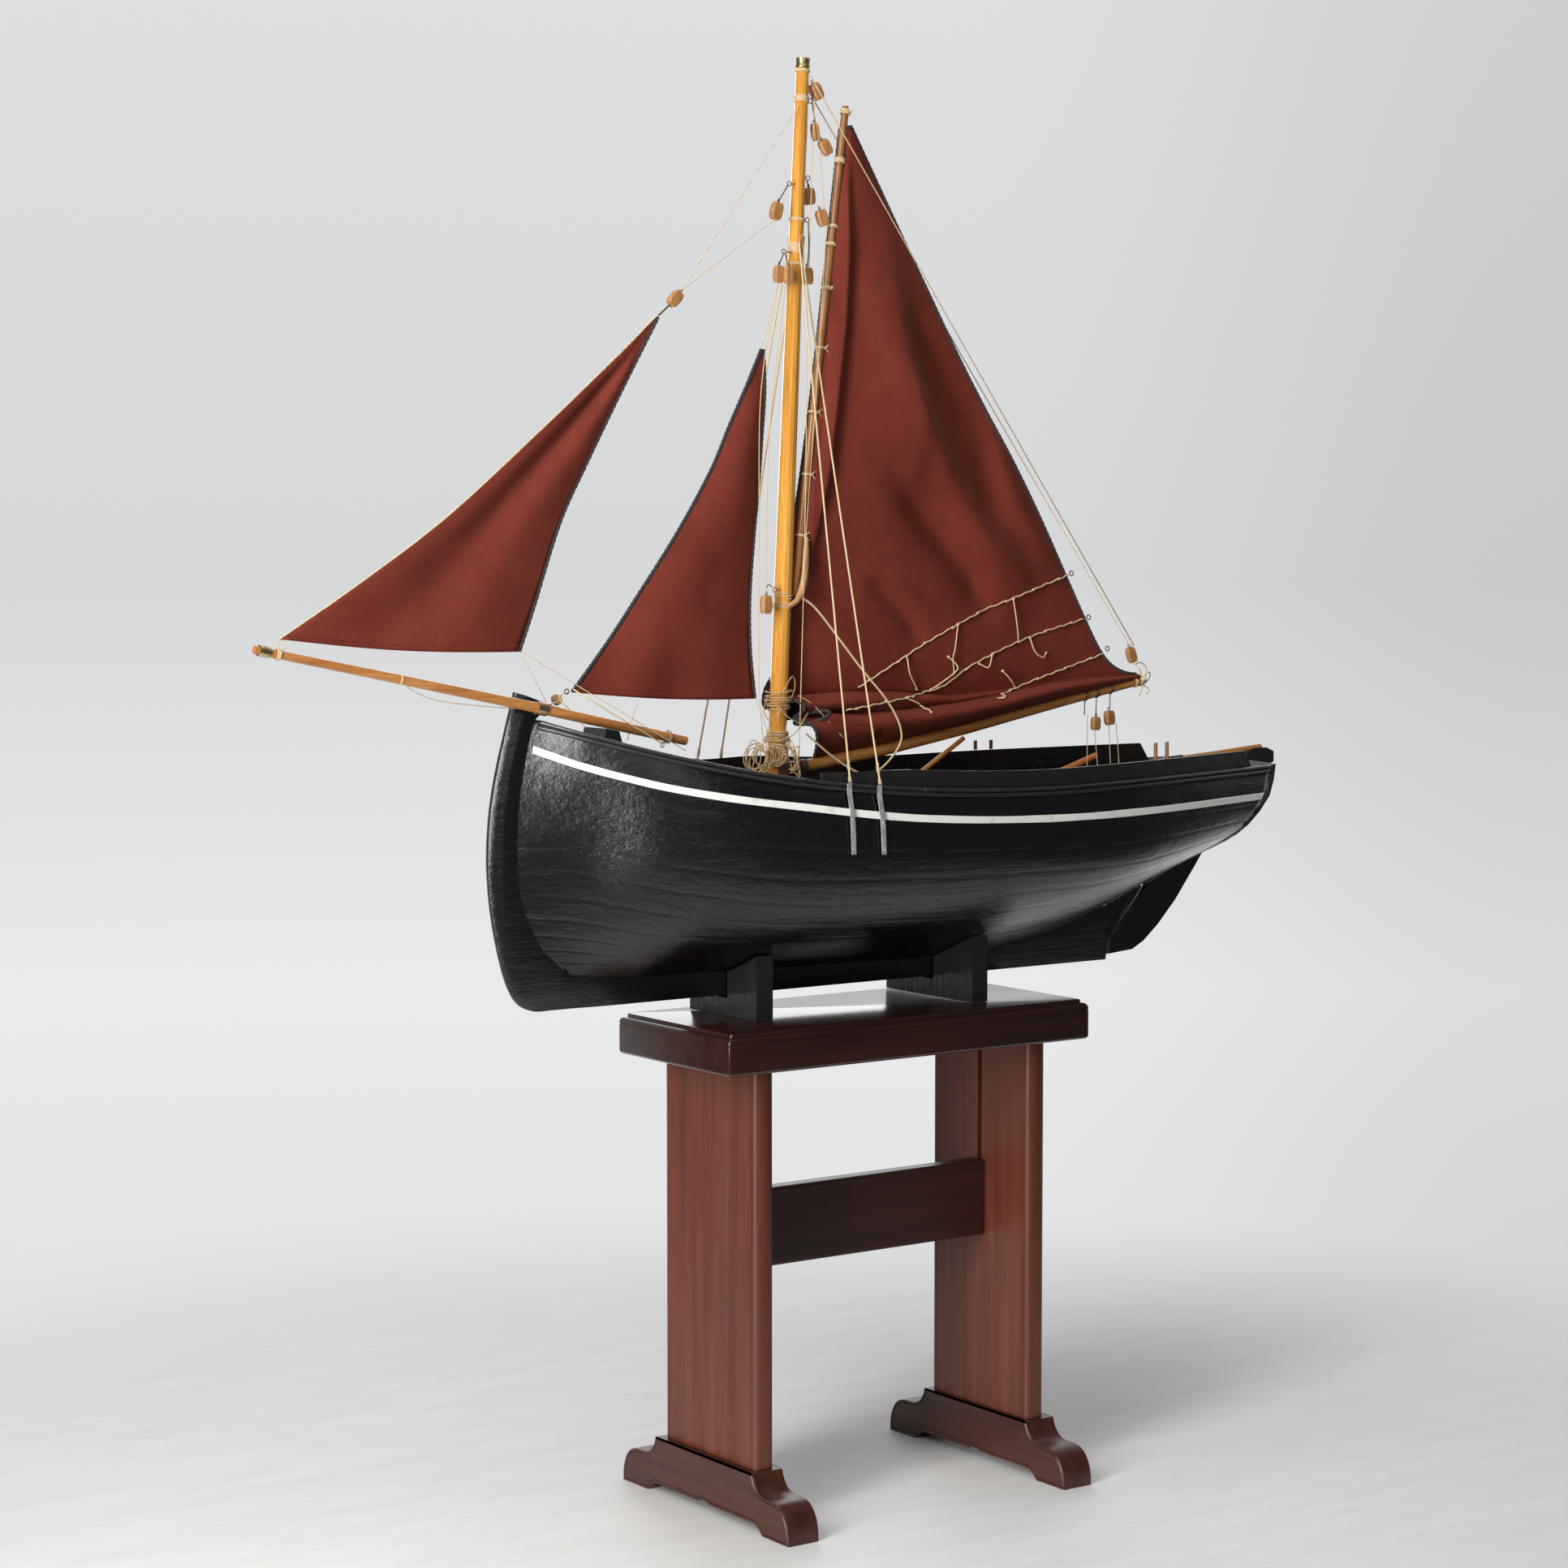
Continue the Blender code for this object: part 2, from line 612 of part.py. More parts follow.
# --- fittings -------------------------------------------------------------------------------------
def make_fittings():
    steel = (STEEL, 0.35, 0.9)
    for side, word in ((1, "port"), (-1, "starboard")):
        for place_word, x in (("fore", FORE_SHROUD_X), ("aft", AFT_SHROUD_X)):
            make_chainplate(f"{word}_{place_word}_chainplate", side, x + CHAINPLATE_AHEAD, steel)
    pin_look = (OAK, 0.6, 0.0)
    inboard = COAMING_INSET + COAMING_THICKNESS / 2
    for side, word, fore_x, height in ((-1, "starboard", -0.2942, 0.0110), (1, "port", -0.3420, 0.0190)):
        for place_word, x in (("fore", fore_x), ("aft", fore_x - 0.0210)):
            point = hull_point(station_at(x), SHEER_LINE)
            y = side * (point.y - inboard)
            foot = point.z + COAMING_HEIGHT + 0.0005
            cylinder(f"{word}_{place_word}_tholepin", (x, y, foot), (x, y, foot + height), 0.0022, BOAT,
                     pin_look, sides=10)
    deck_z = hull_point(station_at(0.330), SHEER_LINE).z - 0.0008
    bitt = ((0.3190, deck_z - 0.0030), (0.3430, deck_z + 0.0040), (0.3400, 0.8605), (0.3240, 0.8571))
    board = outline("bowsprit_bitt", bitt, 0.044, BOAT, (BLACK_PAINT, 0.4, 0.0))
    board.location = (0, 0.018, 0)
    board.rotation_euler = (math.pi / 2, 0, 0)
    stick = (ORANGE_PINE, 0.5, 0.0)
    cylinder("boom_prop", (0.0440, 0, 0.7043), (-0.1665, 0, 0.8316), 0.0028, BOAT, stick, sides=12)
    cylinder("deck_peg", (-0.3365, -0.030, 0.7852), (-0.3895, -0.030, 0.8017), 0.0038, BOAT, stick, sides=12)


def make_chainplate(name, side, x, look):
    """An iron strap bent over the rail and the stripe, down the planking."""
    station = station_at(x)
    top = hull_point(station, SHEER_LINE)
    over_rail = skin_point(station, top.z - RAIL_HEIGHT).y + RAIL_PROUD + 0.0007
    rows = [(over_rail, top.z - 0.0005), (over_rail, top.z - 0.0105)]
    for line in (5.35, 5.0, 4.7, 4.22):
        point = hull_point(station, line)
        rows.append((point.y + 0.0031, point.z))
    half = 0.0028
    thickness = 0.0012
    sections = [
        (Vector((x - half, side * y, z)), Vector((x + half, side * y, z)),
         Vector((x + half, side * (y + thickness), z)), Vector((x - half, side * (y + thickness), z)))
        for y, z in rows
    ]
    loft(name, sections, BOAT, look)


# --- rudder ---------------------------------------------------------------------------------------
def make_rudder():
    def leading(z):
        return RUDDER_FOOT[0] - RUDDER_RAKE * (z - RUDDER_FOOT[1]) - 0.0022

    heights = (0.587, 0.605, 0.630, 0.655, 0.690, 0.740, 0.785)
    fore = [(-0.3788, 0.5690)] + [(leading(z), z) for z in heights]
    aft = ((-0.4190, 0.5722), (-0.4370, 0.5815), (-0.4595, 0.6000), (-0.4865, 0.6275), (-0.5190, 0.6685),
           (-0.5435, 0.7010), (-0.5900, 0.7500), (-0.6310, 0.7935))
    blade("rudder", fore, aft, 0.0045, 0.0016, 0.004, BOAT, (BLACK_PAINT, 0.3, 0.0))
    tiller = ((-0.6260, 0.0, 0.8046, 0.0045), (-0.5562, 0.0, 0.8001, 0.0032), (-0.4588, 0.0, 0.7939, 0.0026))
    spar("tiller", tiller, BOAT, (ORANGE_PINE, 0.45, 0.0), resolution=3)


# --- spars ----------------------------------------------------------------------------------------
def make_spars():
    pine = (PINE, 0.3, 0.0)
    brass = (BRASS, 0.35, 1.0)
    mast = []
    radii = ((MAST_HEEL_Z, 0.0085), (0.70, 0.0100), (1.00, 0.0100), (1.30, 0.0086), (MAST_HEAD_Z, 0.0072))
    for z, radius in radii:
        mast.append((mast_x(z), 0.0, z, radius))
    spar("mast", mast, BOAT, pine, resolution=5)
    cap_low, cap_top = MAST_HEAD_Z + GAP, 1.5792
    cylinder("mast_cap", (mast_x(cap_low), 0, cap_low), (mast_x(cap_top), 0, cap_top), 0.0080, BOAT,
             brass, sides=20)
    y = BOWSPRIT_Y
    bowsprit = ((0.2254, y, 0.8428, 0.0050), (0.2500, y, 0.8480, 0.0053), (0.4113, y, 0.8835, 0.0055),
                (0.6000, y, 0.9225, 0.0049), (0.7345, y, 0.9500, 0.0043))
    spar("bowsprit", bowsprit, BOAT, (ORANGE_PINE, 0.35, 0.0))
    direction = Vector((0.7345 - 0.2254, 0, 0.9500 - 0.8428))
    bands = (("bowsprit_tip_band", (0.7240, y, 0.9479), 0.0048, 0.0057, 0.012, brass),
             ("bowsprit_stem_band", (0.4055, y, 0.8822), 0.0060, 0.0069, 0.012, brass),
             ("bowsprit_heel_ring", (0.2480, y, 0.8476), 0.0060, 0.0074, 0.0016, (STEEL, 0.4, 0.9)))
    for name, centre, inner, outer, length, look in bands:
        tube_ring(name, centre, direction, inner, outer, length, BOAT, look)
    boom = ((0.0620, 0, 0.8078, 0.0068), (-0.0600, 0, 0.8235, 0.0068), (-0.1696, 0, 0.8420, 0.0063),
            (-0.3100, 0, 0.8680, 0.0052), (-0.4387, 0, 0.8911, 0.0042))
    spar("boom", boom, BOAT, (ORANGE_PINE, 0.35, 0.0))
    make_boom_jaws()
    gaff = ((0.0712, 0, 0.9952, 0.0050), (0.0442, 0, 1.2039, 0.0048), (0.0015, 0, 1.5319, 0.0042))
    spar("gaff", gaff, BOAT, (BAMBOO, 0.4, 0.0), resolution=3)
    make_gaff_jaws()
    block_look = (OAK, 0.5, 0.0)
    box("boom_end_block", (-0.4181, 0, 0.9213), (0.0125, 0.0085, 0.0180), BOAT, block_look, bevel=0.0016)
    box("mainsheet_block", (-0.3848, 0, 0.8480), (0.0115, 0.0085, 0.0165), BOAT, block_look, bevel=0.0016)


def jaw_section(z, centre_x, inner, outer, back):
    """A horseshoe around the mast, open at the front."""
    points = []
    steps = 8
    for i in range(steps + 1):
        angle = math.radians(70 + 220 * i / steps)
        points.append(Vector((centre_x + outer * math.cos(angle), outer * math.sin(angle), z)))
    for i in range(steps + 1):
        angle = math.radians(290 - 220 * i / steps)
        points.append(Vector((centre_x + inner * math.cos(angle), inner * math.sin(angle), z)))
    middle = steps // 2
    points[middle] = Vector((centre_x - back, 0, z))
    return points


def make_boom_jaws():
    look = (DARK_WOOD, 0.5, 0.0)
    low, high = 0.8010, 0.8140
    sections = [jaw_section(z, mast_x(z), 0.0112, 0.0178, 0.0265) for z in (low, high)]
    loft("boom_jaws", sections, BOAT, look)


def make_gaff_jaws():
    look = (PALE_WOOD, 0.45, 0.0)
    sections = [jaw_section(z, mast_x(z), 0.0112, 0.0155, 0.0175) for z in (0.9745, 0.9935)]
    loft("gaff_jaws", sections, BOAT, look)


# --- sails ----------------------------------------------------------------------------------------
def sail(name, fore_edge, aft_edge, half, look):
    """A thin sheet between two edges given as (x, y, z) pairs from foot to head."""
    across = Vector((0, half, 0))
    sections = [
        (Vector(fore) + across, Vector(aft) + across, Vector(aft) - across, Vector(fore) - across)
        for fore, aft in zip(fore_edge, aft_edge)
    ]
    return loft(name, sections, BOAT, look)


def make_sails():
    look = (TAN_CLOTH, 0.85, 0.0)
    half = 0.0011

    def gaff_edge(z):
        return (0.0714 - 0.1302 * (z - 0.9952) - 0.0070, 0, z)

    luff = [(0.0600, 0, 0.8230), (0.0640, 0, 0.9000), (0.0640, 0, 0.9650), gaff_edge(1.0000),
            gaff_edge(1.0700), gaff_edge(1.1600), gaff_edge(1.2700), gaff_edge(1.3953), gaff_edge(1.4980)]
    leech = [(-0.4300, 0, 0.9020), (-0.3753, 0, 0.9320), (-0.3450, 0, 0.9770), (-0.3189, 0, 1.0176),
             (-0.2800, 0, 1.0760), (-0.2300, 0, 1.1600), (-0.1560, 0, 1.2700), (-0.0750, 0, 1.3953),
             (-0.0090, 0, 1.5050)]
    sail("mainsail", luff, leech, half, look)
    foresail_luff = ((0.3572, 0, 0.8979), (0.3142, 0, 0.9479), (0.2726, 0, 1.0010), (0.2238, 0, 1.0656),
                     (0.1812, 0, 1.1309), (0.1579, 0, 1.1775), (0.1350, 0, 1.2216), (0.1145, 0, 1.2635))
    foresail_leech = ((0.1235, 0, 0.8865), (0.1295, 0, 0.9400), (0.1300, 0, 0.9950), (0.1248, 0, 1.0574),
                      (0.1175, 0, 1.1250), (0.1135, 0, 1.1730), (0.1100, 0, 1.2190), (0.1090, 0, 1.2625))
    sail("foresail", foresail_luff, foresail_leech, half, look)
    y = BOWSPRIT_Y
    jib_luff = ((0.7060, y, 0.9610), (0.6150, y * 0.8, 1.0180), (0.5120, y * 0.58, 1.0850),
                (0.4000, y * 0.33, 1.1720), (0.3000, y * 0.10, 1.2530), (0.2500, 0, 1.2955))
    jib_leech = ((0.4243, y * 0.3, 0.9440), (0.4064, y * 0.3, 0.9884), (0.3740, y * 0.25, 1.0720),
                 (0.3350, y * 0.2, 1.1400), (0.2850, y * 0.05, 1.2260), (0.2460, 0, 1.2920))
    sail("jib", jib_luff, jib_leech, half, look)


# --- standing rigging -----------------------------------------------------------------------------
def make_rigging():
    look = (CORD, 0.8, 0.0)
    radius = 0.0011
    hounds_x = mast_x(HOUNDS_Z)
    for side, word in ((1, "port"), (-1, "starboard")):
        fore = hull_point(station_at(FORE_SHROUD_X), SHEER_LINE)
        aft = hull_point(station_at(AFT_SHROUD_X), SHEER_LINE)
        out = RAIL_PROUD + 0.0012
        route = [(FORE_SHROUD_X, side * (fore.y + out), fore.z + 0.0015),
                 (hounds_x + 0.0030, side * 0.0098, HOUNDS_Z - 0.008),
                 (hounds_x, side * 0.0112, HOUNDS_Z),
                 (hounds_x - 0.0030, side * 0.0098, HOUNDS_Z - 0.032),
                 (AFT_SHROUD_X, side * (aft.y + out), aft.z + 0.0015)]
        spar(word + "_shrouds", [(*point, radius) for point in route], BOAT, look, resolution=2)
    lift_x = mast_x(1.562) - 0.0040
    lift = ((lift_x, 0.0090, 1.5600), (-0.4181, 0.0040, 0.9330), (-0.4181, -0.0040, 0.9330),
            (lift_x, -0.0090, 1.5600))
    spar("topping_lift", [(*point, 0.0007) for point in lift], BOAT, look, resolution=2)
    tail = rounded(((0.0716, 0.0140, 0.9946), (0.0500, 0.0160, 0.9793), (0.0013, 0.0240, 0.9203),
                    (-0.0386, 0.0280, 0.8760), (-0.0544, 0.0300, 0.8446), (-0.0487, 0.0300, 0.8239),
                    (-0.0253, 0.0280, 0.8021), (-0.0031, 0.0260, 0.7986), (0.0312, 0.0240, 0.8161),
                    (0.0700, 0.0210, 0.8455)), steps=5)
    spar("halyard_tail", [(*point, 0.0012) for point in tail], BOAT, look, resolution=2)


# --- working gear under the floor boards ----------------------------------------------------------
def make_working_gear():
    plastic = (GREY_PLASTIC, 0.45, 0.0)
    nylon = (NYLON, 0.5, 0.0)
    box("rudder_servo", (-0.400, 0.0, 0.7290), (0.0400, 0.0200, 0.0380), BOAT, plastic, bevel=0.001)
    box("servo_horn", (-0.408, 0.0, 0.7530), (0.0070, 0.0300, 0.0020), BOAT, nylon)
    box("sheet_winch", (-0.210, 0.0, 0.6480), (0.0460, 0.0300, 0.0400), BOAT, plastic, bevel=0.001)
    cylinder("winch_drum", (-0.218, 0, 0.6688), (-0.218, 0, 0.6808), 0.0130, BOAT, nylon, sides=20)
    box("receiver", (-0.110, 0.030, 0.6320), (0.0420, 0.0240, 0.0140), BOAT, plastic, bevel=0.001)
    box("battery_pack", (-0.020, 0.0, 0.6250), (0.0900, 0.0340, 0.0200), BOAT, (BLUE_WRAP, 0.4, 0.0),
        bevel=0.002)


clear_scene()
PARTS = make_collection("gaff_cutter")
CUTTERS = make_collection("cutters", hidden=True)
STAND = make_empty("stand_frame", (STAND_X, STAND_Y, 0))
BOAT = make_empty("boat_frame", (STAND_X, STAND_Y + BOAT_OFFSET_Y, 0))
HULL = hull_grid()
make_stand()
make_hull_shell()
make_backbone()
make_transom()
make_trim()
make_decks()
make_fittings()
make_rudder()
make_spars()
make_sails()
make_rigging()
make_working_gear()
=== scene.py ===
"""Looks of the gaff cutter on its trestle stand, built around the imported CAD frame.

Metres, +X to the bow, +Y to port, +Z up. Points of the boat are given in the boat's own frame,
whose middle plane is y = 0, and moved into place by at().
"""

import json
import math
import random

import bmesh
import bpy
import numpy as np
from mathutils import Matrix, Vector, kdtree, noise


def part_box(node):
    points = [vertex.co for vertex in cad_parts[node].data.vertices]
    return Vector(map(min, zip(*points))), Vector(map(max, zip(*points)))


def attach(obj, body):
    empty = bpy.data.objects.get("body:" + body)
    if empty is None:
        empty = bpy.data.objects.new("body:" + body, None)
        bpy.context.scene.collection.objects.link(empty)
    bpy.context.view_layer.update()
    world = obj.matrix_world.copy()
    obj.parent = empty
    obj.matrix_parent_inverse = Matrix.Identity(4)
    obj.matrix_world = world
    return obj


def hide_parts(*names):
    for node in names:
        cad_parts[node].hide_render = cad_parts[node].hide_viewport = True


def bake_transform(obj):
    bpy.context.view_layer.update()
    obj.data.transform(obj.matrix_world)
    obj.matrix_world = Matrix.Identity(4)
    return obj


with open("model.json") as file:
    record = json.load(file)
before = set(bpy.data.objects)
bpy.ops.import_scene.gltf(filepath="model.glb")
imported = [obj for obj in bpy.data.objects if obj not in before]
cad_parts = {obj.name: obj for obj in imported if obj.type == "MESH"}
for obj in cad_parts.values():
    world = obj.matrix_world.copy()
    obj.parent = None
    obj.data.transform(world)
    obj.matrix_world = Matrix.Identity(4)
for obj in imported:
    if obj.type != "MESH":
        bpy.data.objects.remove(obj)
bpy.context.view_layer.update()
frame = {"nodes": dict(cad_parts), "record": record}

# --- where things are ---
TOP_LOW, TOP_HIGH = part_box("stand_top")
KEEL_LOW, KEEL_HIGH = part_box("keel")
STAND = Vector(((TOP_LOW[0] + TOP_HIGH[0]) / 2, (TOP_LOW[1] + TOP_HIGH[1]) / 2, 0))
BOAT = Vector((STAND.x, (KEEL_LOW[1] + KEEL_HIGH[1]) / 2, 0))
CAMERA_PLACE = Vector((2.2047, 3.0648, 1.061))
CAMERA_FORWARD = Vector((-0.5761, -0.8142, -0.07201))
LENS_MM = 78.75
SENSOR_MM = 36.0

# --- shape of the hull ---
KEEL_HALF = 0.007
KEEL_BOTTOM_Z = 0.563
RAIL_HEIGHT = 0.0095
RAIL_PROUD = 0.004
STRIPE_HEIGHT = 0.0078
STERN_RAKE = 0.9
STERN_FOOT = (-0.4285, 0.644)
STATION_X = (0.365, 0.28, 0.16, 0.02, -0.14, -0.3)
HULL_LINES = (  # keel to sheer: (stem x, z), six (y, z), (stern y, z)
    ((0.372, 0.602), ((KEEL_HALF, 0.6), (KEEL_HALF, 0.5915), (KEEL_HALF, 0.5895),
                        (KEEL_HALF, 0.587), (KEEL_HALF, 0.5865), (KEEL_HALF, 0.605)), (KEEL_HALF, 0.65)),
    ((0.4, 0.627), ((0.017, 0.624), (0.04, 0.611), (0.05, 0.6065), (0.053, 0.6045),
                      (0.052, 0.606), (0.04, 0.6215)), (0.03, 0.669)),
    ((0.4185, 0.662), ((0.028, 0.655), (0.068, 0.639), (0.092, 0.6285), (0.102, 0.6265),
                       (0.101, 0.6285), (0.085, 0.643)), (0.06, 0.687)),
    ((0.4285, 0.706), ((0.0385, 0.701), (0.089, 0.682), (0.127, 0.666), (0.146, 0.662),
                       (0.146, 0.664), (0.129, 0.671)), (0.089, 0.703)),
    ((0.429, 0.756), ((0.0465, 0.752), (0.103, 0.731), (0.1415, 0.715), (0.166, 0.71),
                       (0.17, 0.7065), (0.157, 0.706)), (0.109, 0.723)),
    ((0.4165, 0.8415), ((0.051, 0.8195), (0.106, 0.7955), (0.14, 0.7765), (0.163, 0.7595),
                        (0.1675, 0.7515), (0.157, 0.7517)), (0.113, 0.757)),
    ((0.405, 0.871), ((0.0485, 0.856), (0.097, 0.8315), (0.13, 0.8075), (0.153, 0.7925),
                        (0.157, 0.7858), (0.146, 0.7877)), (0.09, 0.7915)),
)
LAST_STATION = 7.0
STRIPE_LINE = 5
SHEER_LINE = 6

# --- spars (x, z in the middle plane) ---
MAST_DECK = (0.0954, 0.7997)
MAST_RAKE = -0.04655
BOWSPRIT_Y = 0.017
GAFF_FOOT = Vector((0.0712, 0, 0.9952))
GAFF_HEAD = Vector((0.0015, 0, 1.5319))
SIDES = ((1, "port"), (-1, "starboard"))
BOOM_LINE = ((0.062, 0.8078, 0.0068), (-0.06, 0.8235, 0.0068), (-0.1696, 0.842, 0.0063),
             (-0.31, 0.868, 0.0052), (-0.4387, 0.8911, 0.0042))  # x, z, radius


def at(x, y, z):
    """A point of the boat, in the shared frame."""
    return BOAT + Vector((x, y, z))


def mast_x(z):
    return MAST_DECK[0] + MAST_RAKE * (z - MAST_DECK[1])


def mast_radius(z):
    return float(np.interp(z, (0.5985, 0.7, 1.0, 1.3, 1.5687), (0.0085, 0.01, 0.01, 0.0086, 0.0072)))


def gaff_x(z):
    part = (z - GAFF_FOOT.z) / (GAFF_HEAD.z - GAFF_FOOT.z)
    return GAFF_FOOT.x + part * (GAFF_HEAD.x - GAFF_FOOT.x)


def flat_line(points):
    """Points (x, z) of the boat's middle plane, as (x, 0, z)."""
    return [(x, 0, z) for x, z in points]


def boom_at(x):
    """Height of the boom's middle line and its radius at this x."""
    xs = [point[0] for point in reversed(BOOM_LINE)]
    heights = [point[1] for point in reversed(BOOM_LINE)]
    radii = [point[2] for point in reversed(BOOM_LINE)]
    return float(np.interp(x, xs, heights)), float(np.interp(x, xs, radii))


# --- curves and surfaces ---
def spline_at(points, t):
    """Catmull-Rom through the points; t counts points from 0."""
    last = len(points) - 1
    i = min(int(t), last - 1)
    local = t - i
    before = points[i - 1] if i > 0 else 2 * points[0] - points[1]
    after = points[i + 2] if i + 2 <= last else 2 * points[last] - points[last - 1]
    a, b = points[i], points[i + 1]
    return 0.5 * (
        2 * a
        + (b - before) * local
        + (2 * before - 5 * a + 4 * b - after) * local**2
        + (3 * a - before - 3 * b + after) * local**3
    )


def smooth_path(points, steps=6):
    points = [Vector(point) for point in points]
    count = (len(points) - 1) * steps
    return [spline_at(points, i / steps) for i in range(count + 1)]


def even_path(points, spacing):
    """The same path with points a fixed distance apart."""
    points = [Vector(point) for point in points]
    lengths = [0.0]
    for a, b in zip(points, points[1:]):
        lengths.append(lengths[-1] + (b - a).length)
    count = max(2, round(lengths[-1] / spacing) + 1)
    wanted = np.linspace(0, lengths[-1], count)
    columns = [np.interp(wanted, lengths, [point[k] for point in points]) for k in range(3)]
    return [Vector(row) for row in zip(*columns)]


def path_length(points):
    return sum((Vector(b) - Vector(a)).length for a, b in zip(points, points[1:]))


def frames_along(points):
    """A side and an up direction at each point, turning as little as possible."""
    tangents = []
    for i in range(len(points)):
        a, b = points[max(i - 1, 0)], points[min(i + 1, len(points) - 1)]
        tangents.append((b - a).normalized())
    first = Vector((0, 0, 1)) if abs(tangents[0].z) < 0.9 else Vector((1, 0, 0))
    side = tangents[0].cross(first).normalized()
    result = []
    for tangent in tangents:
        side = (side - tangent * side.dot(tangent)).normalized()
        result.append((side.copy(), tangent.cross(side)))
    return result


def wobble(x, y, z, scale, seed=0.0):
    return noise.noise(Vector((x * scale + seed, y * scale, z * scale)))


def smooth_step(value, low, high):
    t = min(max((value - low) / (high - low), 0.0), 1.0)
    return t * t * (3 - 2 * t)


# --- pieces ---
def finish_mesh(name, bm, angle=40):
    bmesh.ops.recalc_face_normals(bm, faces=bm.faces)
    mesh = bpy.data.meshes.new(name)
    bm.to_mesh(mesh)
    bm.free()
    mesh.shade_smooth()
    mesh.set_sharp_from_angle(angle=math.radians(angle))
    return mesh


def piece(name, data, body, material):
    """Adds one mesh or curve as a piece that rides on a CAD body."""
    item = bpy.data.objects.new(name, data)
    bpy.context.scene.collection.objects.link(item)
    data.materials.clear()
    data.materials.append(material)
    if body:
        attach(item, body)
    return item


def mesh_piece(name, bm, body, look, angle=40):
    """Ends a mesh and adds it; edges sharper than the angle stay hard."""
    return piece(name, finish_mesh(name, bm, angle), body, MATERIALS[look])


def grid_faces(bm, rows, closed=False):
    for first, second in zip(rows, rows[1:]):
        count = len(first)
        for i in range(count if closed else count - 1):
            j = (i + 1) % count
            bm.faces.new((first[i], first[j], second[j], second[i]))


def add_grid(bm, points, closed=False, capped=False):
    rows = [[bm.verts.new(point) for point in row] for row in points]
    grid_faces(bm, rows, closed)
    if capped:
        bm.faces.new(list(reversed(rows[0])))
        bm.faces.new(rows[-1])
    return rows


def solid_loft(name, sections, body, look, angle=40):
    """A closed piece through a row of closed sections."""
    bm = bmesh.new()
    add_grid(bm, sections, closed=True, capped=True)
    return mesh_piece(name, bm, body, look, angle)


def add_tube(bm, points, radii, sides=10):
    """A round tube; radii is one number or one for each point."""
    if not hasattr(radii, "__len__"):
        radii = [radii] * len(points)
    sections = [round_section(point, side, up, [radius] * sides)
                for point, radius, (side, up) in zip(points, radii, frames_along(points))]
    add_grid(bm, sections, closed=True, capped=True)


def add_laid_rope(bm, points, radius, pitch, strands=3, sides=12):
    """A rope whose strands stand out and twist along it."""
    path = even_path(points, pitch / 7)
    sections = []
    travelled = 0.0
    for index, (point, (side, up)) in enumerate(zip(path, frames_along(path))):
        if index:
            travelled += (point - path[index - 1]).length
        turn = 2 * math.pi * travelled / pitch
        angles = [2 * math.pi * i / sides for i in range(sides)]
        lobes = [radius * (0.86 + 0.14 * math.cos(strands * angle - turn)) for angle in angles]
        sections.append(round_section(point, side, up, lobes))
    add_grid(bm, sections, closed=True, capped=True)


def across_axis(axis):
    """Two directions square to an axis and to each other."""
    helper = Vector((0, 0, 1)) if abs(axis.z) < 0.9 else Vector((1, 0, 0))
    side = axis.cross(helper).normalized()
    return side, axis.cross(side)


def round_section(centre, side, up, radii):
    """A closed ring of points, one for each radius."""
    ring = []
    for i, radius in enumerate(radii):
        angle = 2 * math.pi * i / len(radii)
        ring.append(centre + (side * math.cos(angle) + up * math.sin(angle)) * radius)
    return ring


def add_ring(bm, centre, axis, radius, thickness, turns=1, spread=0.0, steps=20, sides=6, phase=0.0):
    """Turns of cord round an axis, side by side over the spread."""
    axis = Vector(axis).normalized()
    side, up = across_axis(axis)
    count = steps * turns
    points = []
    for i in range(count + 1):
        angle = phase + 2 * math.pi * i / steps
        along = spread * (i / count - 0.5)
        points.append(centre + axis * along + (side * math.cos(angle) + up * math.sin(angle)) * radius)
    add_tube(bm, points, thickness / 2, sides)


def add_ball(bm, centre, radius, squash=(1, 1, 1)):
    matrix = Matrix.Translation(centre) @ Matrix.Diagonal((*[radius * s for s in squash], 1))
    bmesh.ops.create_icosphere(bm, subdivisions=2, radius=1.0, matrix=matrix)


def add_turned(bm, start, end, profile, sides=20):
    """A turned solid: profile is (part of the length, radius) from start to end."""
    start, end = Vector(start), Vector(end)
    side, up = across_axis((end - start).normalized())
    sections = [round_section(start.lerp(end, part), side, up, [radius] * sides) for part, radius in profile]
    add_grid(bm, sections, closed=True, capped=True)


def thicken(item, thickness, offset=-1.0):
    solid = item.modifiers.new("Thickness", "SOLIDIFY")
    solid.thickness = thickness
    solid.offset = offset


def round_off(item, width, segments, angle=30):
    bevel = item.modifiers.new("Worn edges", "BEVEL")
    bevel.width = width
    bevel.segments = segments
    bevel.limit_method = "ANGLE"
    bevel.angle_limit = math.radians(angle)


def turned_piece(name, body, look, start, end, profile, sides=20):
    bm = bmesh.new()
    add_turned(bm, start, end, profile, sides)
    return mesh_piece(name, bm, body, look)


def curve_piece(name, points, radius, body):
    """A plain cord: one open spline."""
    curve = bpy.data.curves.new(name, "CURVE")
    curve.dimensions = "3D"
    curve.bevel_depth = radius
    curve.bevel_resolution = 2
    curve.use_fill_caps = True
    spline = curve.splines.new("POLY")
    spline.points.add(len(points) - 1)
    for spline_point, point in zip(spline.points, points):
        spline_point.co = (*point, 1.0)
    return piece(name, curve, body, MATERIALS["cord"])


# --- materials ---
def node(tree, kind, settings=None, **sockets):
    item = tree.nodes.new("ShaderNode" + kind)
    for key, value in (settings or {}).items():
        setattr(item, key, value)
    for key, value in sockets.items():
        socket = item.inputs[key.replace("_", " ")]
        if isinstance(value, bpy.types.NodeSocket):
            tree.links.new(value, socket)
        else:
            socket.default_value = value
    return item


